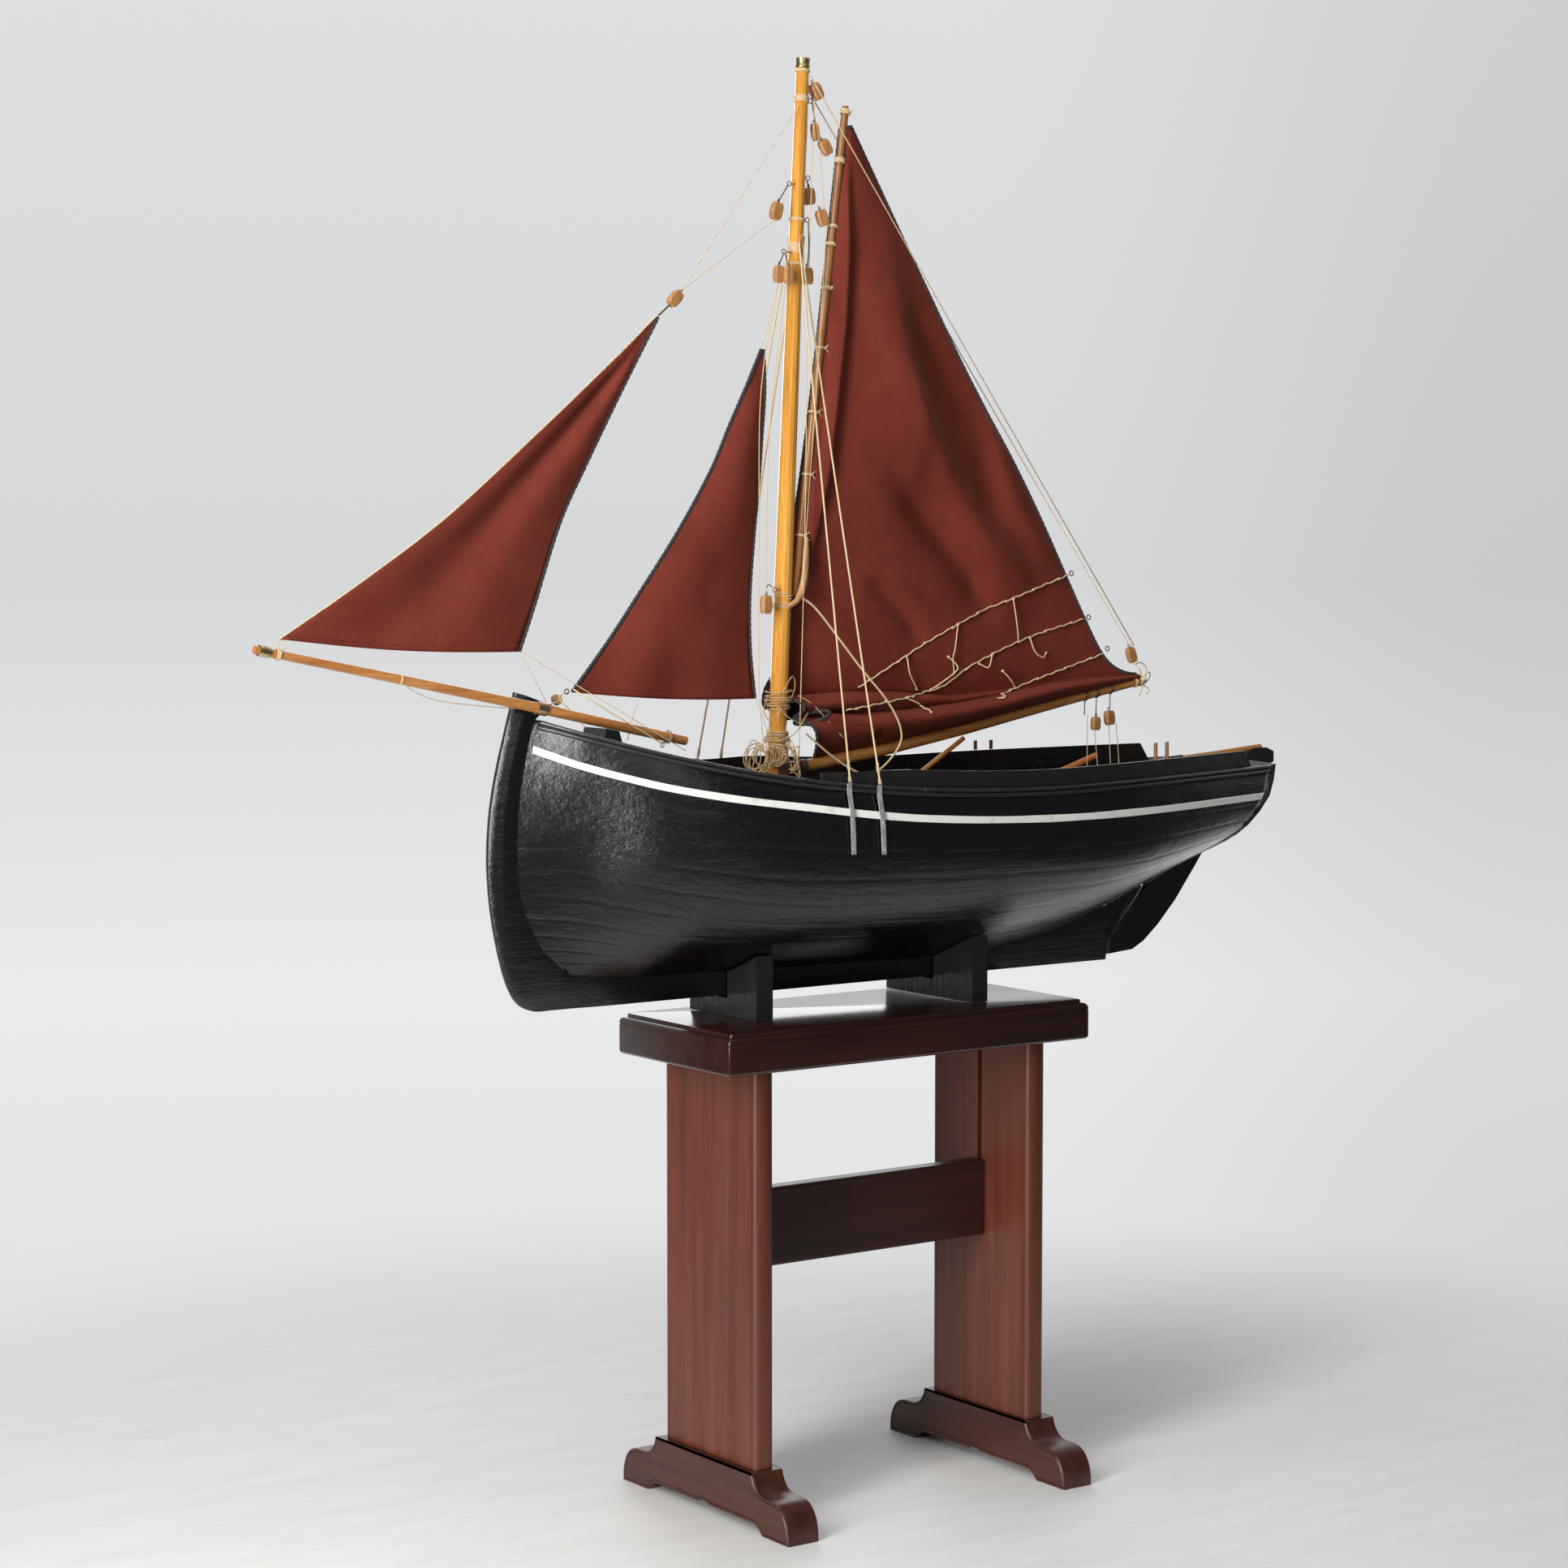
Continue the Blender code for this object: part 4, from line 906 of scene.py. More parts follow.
def make_legs():
    """Two legs with moulded edges; the upper part of the inner face has a slot."""
    stretcher_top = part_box("stretcher")[1][2]
    for word, inward in (("fore", 1), ("aft", -1)):
        low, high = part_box(word + "_leg")
        centre = Vector(((low[0] + high[0]) / 2, (low[1] + high[1]) / 2, 0))
        half_x, half_y = (high[0] - low[0]) / 2, (high[1] - low[1]) / 2
        levels = ((low[2], 0.0), (stretcher_top, 0.0), (stretcher_top + 0.0002, 0.011), (high[2], 0.011))
        sections = []
        for z, slot in levels:
            plan = leg_section(half_x, half_y, inward, slot)
            sections.append([centre + Vector((x, y, z)) for x, y in plan])
        leg = solid_loft(word + "_moulded_leg", sections, "stand", "mahogany_upright", 25)
        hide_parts(word + "_leg")


FOOT_BASE = ((0.005, 0.0125), (0.011, 0.0105), (0.099, 0.0105), (0.106, 0.006), (0.112, 0.0),
             (0.161, 0.0))
FOOT_OGEE = ((0.1612, 0.01), (0.159, 0.02), (0.155, 0.0285), (0.149, 0.0355), (0.1405, 0.04),
             (0.13, 0.0415), (0.118, 0.0418), (0.1085, 0.044), (0.1015, 0.0495), (0.097, 0.0565),
             (0.095, 0.0618), (0.094, 0.0636))
# the bead round a foot's end: width, depth
FOOT_INSETS = ((0.0022, 0.0), (0.0012, -0.0009), (0.0012, 0.0009))


def foot_outline():
    right = [Vector((0, y, z)) for y, z in FOOT_BASE] + smooth_path([(0, y, z) for y, z in FOOT_OGEE], 4)
    return right + [Vector((0, -point.y, point.z)) for point in reversed(right)]


def make_feet():
    for word in ("fore", "aft"):
        low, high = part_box(word + "_foot")
        middle_y = (low[1] + high[1]) / 2
        bm = bmesh.new()
        rings = [[bm.verts.new((x, middle_y + p.y, p.z)) for p in foot_outline()] for x in (low[0], high[0])]
        grid_faces(bm, rings, closed=True)
        caps = [bm.faces.new(list(reversed(rings[0]))), bm.faces.new(rings[1])]
        bmesh.ops.recalc_face_normals(bm, faces=bm.faces)
        for width, depth in FOOT_INSETS:
            bmesh.ops.inset_region(bm, faces=caps, thickness=width, depth=depth)
        foot = mesh_piece(word + "_ogee_foot", bm, "stand", "mahogany_across", 30)
        round_off(foot, 0.0008, 2, 50)
        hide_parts(word + "_foot")


# --- backbone ---
STEM_FRONT = ((0.4285, 0.8994), (0.4395, 0.86), (0.4506, 0.8182), (0.4586, 0.7764), (0.4619, 0.7343),
              (0.4611, 0.7004), (0.457, 0.664), (0.45, 0.629), (0.44, 0.595), (0.427, 0.573),
              (0.408, 0.5636), (0.386, KEEL_BOTTOM_Z))
STEM_BACK = ((0.379, 0.882), (0.406, 0.872), (0.418, 0.839), (0.426, 0.797), (0.4297, 0.756),
             (0.4297, 0.706), (0.4205, 0.667), (0.411, 0.646), (0.4, 0.628), (0.389, 0.618),
             (0.38, 0.609), (0.37, 0.6025))
STERN_UNDERSIDE = ((-0.3755, KEEL_BOTTOM_Z), (-0.376, 0.5845), (-0.396, 0.6056),
                   (-0.427, 0.6372))


def blade_section(outer, inner, nose, shoulder, proud=0.0):
    """Section of the backbone from its outer edge to the planking, narrowing to the nose."""
    neck = outer + (inner - outer).normalized() * shoulder
    section = []
    for sign in (1, -1):
        half = Vector((0, KEEL_HALF + proud, 0)) * sign
        tip = Vector((0, nose, 0)) * sign
        row = [outer + tip * 0.75, outer + tip + (neck - outer) * 0.08, neck + half, inner + half]
        section += row if sign == 1 else list(reversed(row))
    return [BOAT + point for point in section]


STEM_NOSE = 0.0028
KEEL_NOSE = KEEL_HALF - 0.0008
SHOULDER = 0.009  # from a blade's edge to its full width
STEM_PROUD = 0.0013
STERN_STATIONS = (6.6, 6.74, 6.86, 6.97)


def make_backbone():
    """Stem, keel and sternpost as one run of timber under the planking."""
    fore, back = (smooth_path(flat_line(line), 4) for line in (STEM_FRONT, STEM_BACK))
    sections = [blade_section(outer, inner, STEM_NOSE, SHOULDER, STEM_PROUD)
                for outer, inner in zip(fore, back)]
    for station in np.linspace(1.0, 6.42, 30):
        point = hull_point(station, 0)
        part = smooth_step(station, 1.0, 1.6)
        nose = STEM_NOSE + part * (KEEL_NOSE - STEM_NOSE)
        outer, inner = Vector((point.x, 0, KEEL_BOTTOM_Z)), Vector((point.x, 0, point.z))
        sections.append(blade_section(outer, inner, nose, SHOULDER - 0.007 * part))
    for (x, z), station in zip(STERN_UNDERSIDE, STERN_STATIONS):
        point = hull_point(station, 0)
        inner = Vector((point.x, 0, point.z - 0.0004))
        sections.append(blade_section(Vector((x, 0, z)), inner, KEEL_NOSE, 0.002))
    backbone = solid_loft("stem_and_keel", sections, "boat", "hull_black", 50)
    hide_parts("stem", "keel", "sternpost")


# --- sails ---
CLOTH_THICKNESS = 0.0007
BOLT_ROPE = 0.0021
JIB_LUFF_ROPE = 0.0009
BOLT_ROPE_PITCH = 0.007
GATHERED_RADIUS = 0.0062
MAIN_LUFF = ((0.083, -0.008, 0.874), (0.099, -0.016, 0.874), (0.0985, -0.016, 0.893),
             (0.086, -0.012, 0.916), (0.07, -0.008, 0.955), (0.074, -0.007, 1.0),
             (0.07, -0.006, 1.06), (0.058, -0.005, 1.13), (0.044, -0.005, 1.22),
             (0.029, -0.005, 1.33), (0.016, -0.005, 1.43), (0.006, -0.0045, 1.508))
MAIN_LEECH = ((-0.43, 0.0, 0.899), (-0.402, 0.0, 0.909), (-0.3753, 0.0, 0.93), (-0.3453, 0.0, 0.977),
              (-0.3189, 0.0, 1.019), (-0.28, 0.0, 1.083), (-0.2392, 0.0, 1.1453), (-0.197, 0.0, 1.204),
              (-0.1559, 0.0, 1.265), (-0.114, 0.0, 1.333), (-0.075, 0.0, 1.396), (-0.006, 0.0, 1.51))
# along the boom: x, top of the lower roll, top of the upper roll, how far each roll stands out
FOOT_ROLLS = ((0.06, 0.86, 0.884, 0.02, 0.017), (-0.003, 0.8655, 0.889, 0.023, 0.017),
              (-0.06, 0.8665, 0.888, 0.025, 0.012), (-0.115, 0.869, 0.8825, 0.026, 0.006),
              (-0.16, 0.8725, 0.879, 0.026, 0.0025), (-0.222, 0.88, 0.883, 0.024, 0.001),
              (-0.29, 0.8905, 0.8925, 0.019, 0.0004), (-0.37, 0.896, 0.8975, 0.011, 0.0002),
              (-0.43, 0.8975, 0.8985, 0.004, 0.0001))
FOLD_A = ((0.003, 1.5), (0.0045, 1.47), (0.006, 1.43), (0.0074, 1.388), (0.0134, 1.293),
          (0.0231, 1.204), (0.0332, 1.129), (0.0445, 1.076), (0.0598, 1.0), (0.068, 0.96))
FOLD_B = ((-0.03, 1.42), (-0.052, 1.33), (-0.075, 1.24), (-0.082, 1.15), (-0.078, 1.05))
FOLD_C = ((-0.055, 1.33), (-0.098, 1.279), (-0.145, 1.228), (-0.191, 1.17), (-0.208, 1.095),
          (-0.225, 1.05))
FOLD_D = ((-0.02, 1.19), (-0.064, 1.125), (-0.115, 1.076), (-0.169, 1.024), (-0.195, 0.984),
          (-0.22, 0.95))
FOLD_E = ((-0.05, 1.285), (-0.086, 1.219), (-0.132, 1.128), (-0.186, 1.064), (-0.236, 1.025),
          (-0.28, 0.99))
FOLD_F = ((-0.19, 1.2), (-0.219, 1.145), (-0.24, 1.103), (-0.286, 1.037), (-0.315, 1.0))
FOLD_G = ((-0.02, 1.02), (-0.07, 0.98), (-0.115, 0.935))
# rings from a roll's open mouth aft into the roll: centre, half of its width, half of its height
UPPER_MOUTH = (((0.05, 0.006, 0.8757), (-0.005, 0.007, 0.0), 0.0068),
               ((0.038, 0.007, 0.876), (-0.003, 0.008, 0.0), 0.0076),
               ((0.015, 0.006, 0.878), (-0.001, 0.009, 0.0), 0.0085),
               ((-0.01, 0.006, 0.877), (0.0, 0.009, 0.0), 0.008))
LOWER_MOUTH = (((0.0545, 0.011, 0.862), (-0.0165, 0.0105, 0.0052), 0.0056),
               ((0.03, 0.011, 0.857), (-0.006, 0.013, 0.002), 0.0085),
               ((0.005, 0.011, 0.851), (-0.002, 0.013, 0.001), 0.0125),
               ((-0.03, 0.011, 0.848), (0.0, 0.012, 0.0), 0.011))
# bunched cloth behind the mast and between the rolls
GATHERED_CLOTH = (
    ((0.096, -0.013, 0.873), (0.08, -0.014, 0.875), (0.064, -0.006, 0.874), (0.045, 0.0, 0.87)),
    ((0.092, -0.013, 0.862), (0.07, -0.011, 0.865), (0.05, -0.002, 0.864), (0.03, 0.002, 0.86)),
)
# height of a fold, its width on the fore and the aft side, and its line
MAIN_FOLDS = (
    (0.02, 0.034, 0.007, FOLD_A), (0.015, 0.055, 0.03, FOLD_B), (-0.0135, 0.026, 0.02, FOLD_C),
    (-0.013, 0.024, 0.018, FOLD_D), (0.014, 0.024, 0.018, FOLD_E), (0.011, 0.016, 0.014, FOLD_F),
    (-0.008, 0.014, 0.012, FOLD_G),
)
FOOT_X = (0.043, -0.43)  # fore and aft ends of the foot on the boom
MAIN_COLUMNS = 130
ROLL_ROWS = 14
BODY_ROWS = 120


def edge_at(points, part):
    points = [Vector(point) for point in points]
    return spline_at(points, part * (len(points) - 1))


def foot_roll(x, column):
    table = sorted(FOOT_ROLLS)
    return float(np.interp(x, [row[0] for row in table], [row[column] for row in table]))


def line_distance(x, z, line):
    """From (x, z) to a line of given points: the distance, the side, and how far along the line."""
    place = Vector((x, z))
    best, side, along = 9.0, 1.0, 0.0
    for index, (a, b) in enumerate(zip(line, line[1:])):
        a, b = Vector(a), Vector(b)
        run = b - a
        part = min(max((place - a).dot(run) / run.length_squared, 0.0), 1.0)
        away = place - (a + run * part)
        if away.length < best:
            best = away.length
            side = 1.0 if run.x * away.y - run.y * away.x > 0 else -1.0
            along = (index + part) / (len(line) - 1)
    return best, side, along


def main_folds(x, z):
    """The folds and hollows of the main sail, with some finer waviness."""
    total = 0.0016 * wobble(x, 0, z, 14.0, 3.0) + 0.0006 * wobble(x, 0, z, 45.0, 8.0)
    for height, fore_width, aft_width, line in MAIN_FOLDS:
        distance, side, along = line_distance(x, z, line)
        width = fore_width if side > 0 else aft_width
        fade = smooth_step(along, -0.02, 0.35) * smooth_step(1 - along, -0.02, 0.35)
        total += height * fade * math.exp(-(distance / width) ** 2)
    return total


def main_body_point(u, v):
    """The sail above its rolls: u from luff to leech, v from the rolls to the head."""
    luff, leech = edge_at(MAIN_LUFF, v), edge_at(MAIN_LEECH, v)
    point = luff.lerp(leech, u)
    settle = (1 - v) ** 6
    crease = foot_roll(point.x, 2)
    inside = smooth_step(u, 0.0, 0.06)
    point.z += settle * (crease - point.z) * inside
    belly = 0.016 * math.sin(math.pi * u ** 0.8) * smooth_step(v, 0.0, 0.25) * (1 - 0.55 * v)
    free = math.sin(math.pi * min(max(u, 0.0), 1.0)) ** 0.5
    point.y += belly + main_folds(point.x, point.z) * free * smooth_step(v, 0.0, 0.06)
    return point


def main_roll_points(u):
    """The two rolls of gathered cloth above the boom, from the boom up."""
    x = FOOT_X[0] - u * (FOOT_X[0] - FOOT_X[1])
    centre_z, radius = boom_at(x)
    low = centre_z + radius * 0.9
    first, second = foot_roll(x, 1), foot_roll(x, 2)
    out_low, out_high = foot_roll(x, 3), foot_roll(x, 4)
    mouth = 1 - smooth_step(u, 0.0, 0.1)
    points = []
    for i in range(ROLL_ROWS):
        s = i / (ROLL_ROWS - 1)
        y = out_low * math.sin(math.pi * s ** 1.55) ** 0.85
        z = low + (first - low) * (s + 0.07 * math.sin(2 * math.pi * s) * -1)
        fore = mouth * 0.03 * (s ** 3)
        points.append(Vector((x + mouth * 0.006 * math.sin(math.pi * s) + fore, y, z)))
    for i in range(1, ROLL_ROWS):
        s = i / (ROLL_ROWS - 1)
        y = out_high * math.sin(math.pi * s ** 1.2) ** 0.8
        z = first + (second - first) * s
        lean = mouth * (0.03 + 0.012 * s - 0.01 * math.sin(math.pi * s))
        points.append(Vector((x + lean, y, z)))
    for point in points:
        point.y += 0.0008 * wobble(point.x, point.y, point.z, 40.0, 1.0)
        point.z += 0.001 * wobble(point.x, point.y, point.z, 22.0, 6.0) * smooth_step(point.z - low, 0, 0.01)
    return points


def mainsail_column(u):
    column = main_roll_points(u)
    seat = column[-1].copy()
    for i in range(1, BODY_ROWS + 1):
        v = i / BODY_ROWS
        point = main_body_point(u, v)
        hold = (1 - smooth_step(v, 0.0, 0.05))
        start = main_body_point(u, 0.0)
        column.append(point + (seat - start) * hold)
    return column


def roll_mouths():
    """The open fore ends of the two rolls: rings of points from each mouth back into its roll."""
    mouths = []
    for rings in (UPPER_MOUTH, LOWER_MOUTH):
        rows = []
        for (x, y, z), (wide_x, wide_y, wide_z), high in rings:
            centre, wide = Vector((x, y, z)), Vector((wide_x, wide_y, wide_z))
            rows.append([centre + wide * math.cos(turn) + Vector((0, 0, high)) * math.sin(turn)
                         for turn in np.linspace(0, 2 * math.pi, 33)])
        mouths.append([smooth_path(list(line), 4) for line in zip(*rows)])
    return mouths


def sail_piece(name, grids, body, stands_for):
    bm = bmesh.new()
    for columns in grids:
        add_grid(bm, [[BOAT + point for point in column] for column in columns])
    sail = mesh_piece(name, bm, body, "tan_cloth", 80)
    thicken(sail, CLOTH_THICKNESS, 0.0)
    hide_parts(stands_for)
    return sail


def bolt_ropes(name, runs, body, radius=BOLT_ROPE, look="black_rope"):
    """Laid ropes along edges of a sail, as one piece."""
    bm = bmesh.new()
    for run in runs:
        add_laid_rope(bm, [BOAT + point for point in run], radius, BOLT_ROPE_PITCH)
    return mesh_piece(name, bm, body, look, 70)


def make_gathers(mouths):
    """Cloth inside the rolls' mouths and behind the mast, coloured near-black as painted shade."""
    bm = bmesh.new()
    for mouth in mouths:
        rings = [list(ring) for ring in zip(*mouth)]
        add_grid(bm, [[BOAT + point.lerp(sum(ring, Vector()) / len(ring), 0.12) for point in ring]
                      for ring in rings])
    for points in GATHERED_CLOTH:
        path = boat_path(points, 5)
        add_tube(bm, path, [0.003, *[GATHERED_RADIUS] * (len(path) - 2), 0.003], 14)
    return mesh_piece("gathered_cloth", bm, "main_rig", "shaded_cloth")


def make_mainsail():
    """The sail and its rolls as one cloth, with the rope round its edges and its reef gear."""
    columns = [mainsail_column(i / MAIN_COLUMNS) for i in range(MAIN_COLUMNS + 1)]
    mouths = roll_mouths()
    sail = sail_piece("main_sail_cloth", [columns] + mouths, "main_rig", "mainsail")
    gathers = make_gathers(mouths)
    luff, leech, head = columns[0], columns[-1][2 * ROLL_ROWS:], [column[-1] for column in columns]
    runs = [leech, luff, head] + [[line[0] for line in mouth] for mouth in mouths]
    rope = bolt_ropes("main_sail_bolt_rope", runs, "main_rig")
    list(make_reef_gear(columns))


# --- foresail and jib ---
FORE_LUFF = ((0.3572, 0, 0.8979), (0.3142, 0, 0.9479), (0.2726, 0, 1.001), (0.2238, 0, 1.0656),
             (0.1812, 0, 1.1309), (0.1579, 0, 1.1775), (0.135, 0, 1.2216), (0.1145, 0, 1.2635))
FORE_LEECH = ((0.1235, 0, 0.885), (0.1295, 0, 0.94), (0.13, 0, 0.995), (0.1248, 0, 1.0574),
              (0.1175, 0, 1.125), (0.1135, 0, 1.173), (0.11, 0, 1.219), (0.1115, 0, 1.2635))
JIB_LUFF = ((0.706, 0.017, 0.96), (0.615, 0.0136, 1.014), (0.512, 0.0099, 1.081),
            (0.4, 0.0056, 1.169), (0.3, 0.0017, 1.251), (0.25, 0, 1.2945))
JIB_LEECH = ((0.4243, 0.0051, 0.942), (0.4064, 0.0051, 0.9884), (0.374, 0.0043, 1.075),
             (0.34, 0.0034, 1.138), (0.293, 0.0009, 1.218), (0.248, 0, 1.293))


def headsail_columns(luff, leech, foot_drop, belly, folds, count=28, rows=60):
    columns = []
    for i in range(count + 1):
        u = i / count
        column = []
        for j in range(rows + 1):
            v = j / rows
            point = edge_at(luff, v).lerp(edge_at(leech, v), u)
            middle = math.sin(math.pi * u)
            point.z -= foot_drop * middle * (1 - v) ** 4
            point.y += belly * middle * math.sin(math.pi * min(1, v + 0.12)) ** 0.7
            point.y += folds(u, v, point) * middle ** 0.6 * (1 - smooth_step(v, 0.72, 0.96))
            column.append(point)
        columns.append(column)
    return columns


def fore_folds(_, v, point):
    slow = 0.0016 * wobble(point.x, 0, point.z, 16.0, 4.0) + 0.0005 * wobble(point.x, 0, point.z, 50.0, 2.0)
    crease = 0.002 * math.sin(point.x * 52 + point.z * 20) * (1 - v)
    return slow + crease


def jib_folds(u, v, point):
    slow = 0.0014 * wobble(point.x, 0, point.z, 14.0, 7.0) + 0.0005 * wobble(point.x, 0, point.z, 48.0, 5.0)
    crease = -0.013 * math.exp(-((u - 0.38) / 0.22) ** 2) * math.sin(math.pi * min(1, v + 0.1)) ** 0.7
    return slow + crease


HEM_THICKNESS = 0.0005
HEM_STANDS_OFF = 0.0007
# height above the sail's foot, and how far off the cloth as a share of the above
HEM_ROWS = ((-0.0006, 1.0), (0.0035, 1.25), (0.0075, 1.0))
STITCH_ROWS = (0.0012, 0.0066)
STITCH_EVERY = 0.0024
STITCH_LENGTH = 0.0016
STITCH_RADIUS = 0.00022
STITCH_STANDS_OFF = 0.0013
LACING_EVERY = 0.0055


def foot_hem(name, columns, body):
    """A doubled strip of cloth along both sides of the foot."""
    bm = bmesh.new()
    for side in (1, -1):
        lift = Vector((0, side * HEM_STANDS_OFF, 0))
        rows = []
        for column in columns:
            low, up = BOAT + column[0], (column[1] - column[0]).normalized()
            rows.append([low + up * height + lift * share for height, share in HEM_ROWS])
        add_grid(bm, rows)
    hem = mesh_piece(name, bm, body, "tan_cloth", 60)
    thicken(hem, HEM_THICKNESS)
    return hem


def stitches(bm, points, offset):
    """Short stitches along a line, standing off the cloth by the offset."""
    path = even_path(points, STITCH_EVERY)
    for a, b in zip(path, path[1:]):
        step = (b - a).normalized() * STITCH_LENGTH / 2
        middle = (a + b) / 2 + offset
        add_tube(bm, [middle - step, middle + step], STITCH_RADIUS, 5)


def foot_stitches(name, columns, body):
    """Two rows of stitches on each side of the foot."""
    bm = bmesh.new()
    for height in STITCH_ROWS:
        line = [BOAT + column[0] + (column[1] - column[0]).normalized() * height for column in columns]
        for side in (1, -1):
            stitches(bm, line, Vector((0, side * STITCH_STANDS_OFF, 0)))
    return mesh_piece(name, bm, body, "tan_cloth")


def luff_lacing(name, luff, body, rope, look):
    """Thin turns round a luff rope, each a little further round than the last."""
    bm = bmesh.new()
    path = even_path([BOAT + point for point in luff], LACING_EVERY)
    for index, (a, b) in enumerate(zip(path, path[1:])):
        add_ring(bm, (a + b) / 2, (b - a).normalized() + Vector((0, 0, 0.4)), rope + 0.0002, 0.0006, steps=8,
                 sides=4, phase=index * 0.7)
    return mesh_piece(name, bm, body, look)


def sew_headsail(prefix, columns, body, luff_rope=BOLT_ROPE, luff_look="black_rope"):
    """Bolt ropes on luff and leech, a double-stitched hem along the foot, and lacing along the luff."""
    luff, leech = columns[0], columns[-1]
    return [bolt_ropes(prefix + "_leech_rope", (leech,), body),
            bolt_ropes(prefix + "_luff_rope", (luff,), body, luff_rope, luff_look),
            foot_hem(prefix + "_foot_hem", columns, body),
            foot_stitches(prefix + "_foot_stitches", columns, body),
            luff_lacing(prefix + "_luff_lacing", luff, body, luff_rope, luff_look)]


def make_headsails():
    fore = headsail_columns(FORE_LUFF, FORE_LEECH, 0.0035, 0.012, fore_folds)
    sail = sail_piece("fore_sail_cloth", [fore], "foresail_unit", "foresail")
    sew_headsail("fore_sail", fore, "foresail_unit")
    jib = headsail_columns(JIB_LUFF, JIB_LEECH, 0.005, 0.008, jib_folds)
    sail = sail_piece("jib_cloth", [jib], "jib_unit", "jib")
    sew_headsail("jib", jib, "jib_unit", JIB_LUFF_ROPE, "cord")


# --- cords ---
LINE = 0.0005  # radius of the thin running lines
SHROUD = 0.0011
CHAINPLATE_X = (0.1023, 0.0668)
HOUNDS_Z = 1.388
TOPPING_LIFT = 0.0007
TACK_LINE = 0.0008
TAIL_LINE = 0.0012


def boat_path(points, steps=6):
    path = smooth_path(points, steps) if len(points) > 2 else [Vector(point) for point in points]
    return [BOAT + point for point in path]


def cord(name, path, radius, body, stands_for=None):
    """A cord along a path of the shared frame."""
    item = curve_piece(name, path, radius, body)
    if stands_for:
        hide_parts(stands_for)
    length = round(path_length(path), 3)
    tuple(path[0])


def crossing_line(name, points):
    """A line from the boat to a part that swings, made as one fixed tube that rides on no body."""
    path = even_path(boat_path(points), 0.004)
    bm = bmesh.new()
    add_tube(bm, path, LINE, 7)
    item = mesh_piece(name, bm, None, "cord")
    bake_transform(item)
    length = round(path_length(path), 3)


# on each shroud: height above the chainplate, number of turns, spread
SHROUD_WHIPPINGS = ((0.016, 6, 0.007), (0.003, 4, 0.004))


def make_shrouds():
    """One line over the hounds on each side, from chainplate to chainplate, with its whippings."""
    top_x = mast_x(HOUNDS_Z)
    out = RAIL_PROUD + 0.0012
    for side, word in SIDES:
        ends = []
        for x in CHAINPLATE_X:
            point = hull_point(station_at(x), SHEER_LINE)
            ends.append((x, side * (point.y + out), point.z + 0.0015))
        route = [ends[0], (top_x + 0.003, side * 0.0098, HOUNDS_Z - 0.008), (top_x, side * 0.0112, HOUNDS_Z),
                 (top_x - 0.003, side * 0.0098, HOUNDS_Z - 0.032), ends[1]]
        path = [at(*point) for point in route]
        cord(word + "_shroud_pair", path, SHROUD, "boat", stands_for=word + "_shrouds")
        bm = bmesh.new()
        for end, top in ((path[0], path[1]), (path[4], path[3])):
            up = (top - end).normalized()
            for height, turns, spread in SHROUD_WHIPPINGS:
                add_ring(bm, end + up * height, up, SHROUD + 0.0004, 0.0009, turns, spread, 14)
            add_ball(bm, end + up * 0.0215 + Vector((0, 0.0006 * side, 0)), 0.0018, (1, 1, 0.8))
        mesh_piece(word + "_shroud_whipping", bm, "boat", "cord")


def make_topping_lift():
    lift_x = mast_x(1.562) - 0.004
    route = ((lift_x, 0.009, 1.56), (-0.4181, 0.004, 0.933), (-0.4181, -0.004, 0.933),
             (lift_x, -0.009, 1.56))
    cord("topping_lift_line", [at(*point) for point in route], TOPPING_LIFT, "main_rig",
         stands_for="topping_lift")


HALYARD_TAIL = ((0.0716, 0.014, 0.9946), (0.05, 0.016, 0.9793), (0.0013, 0.024, 0.9203),
                (-0.0386, 0.028, 0.876), (-0.0544, 0.03, 0.8446), (-0.0487, 0.03, 0.8239),
                (-0.0253, 0.028, 0.8021), (-0.0031, 0.026, 0.7986), (0.0312, 0.024, 0.8161),
                (0.07, 0.021, 0.8455))
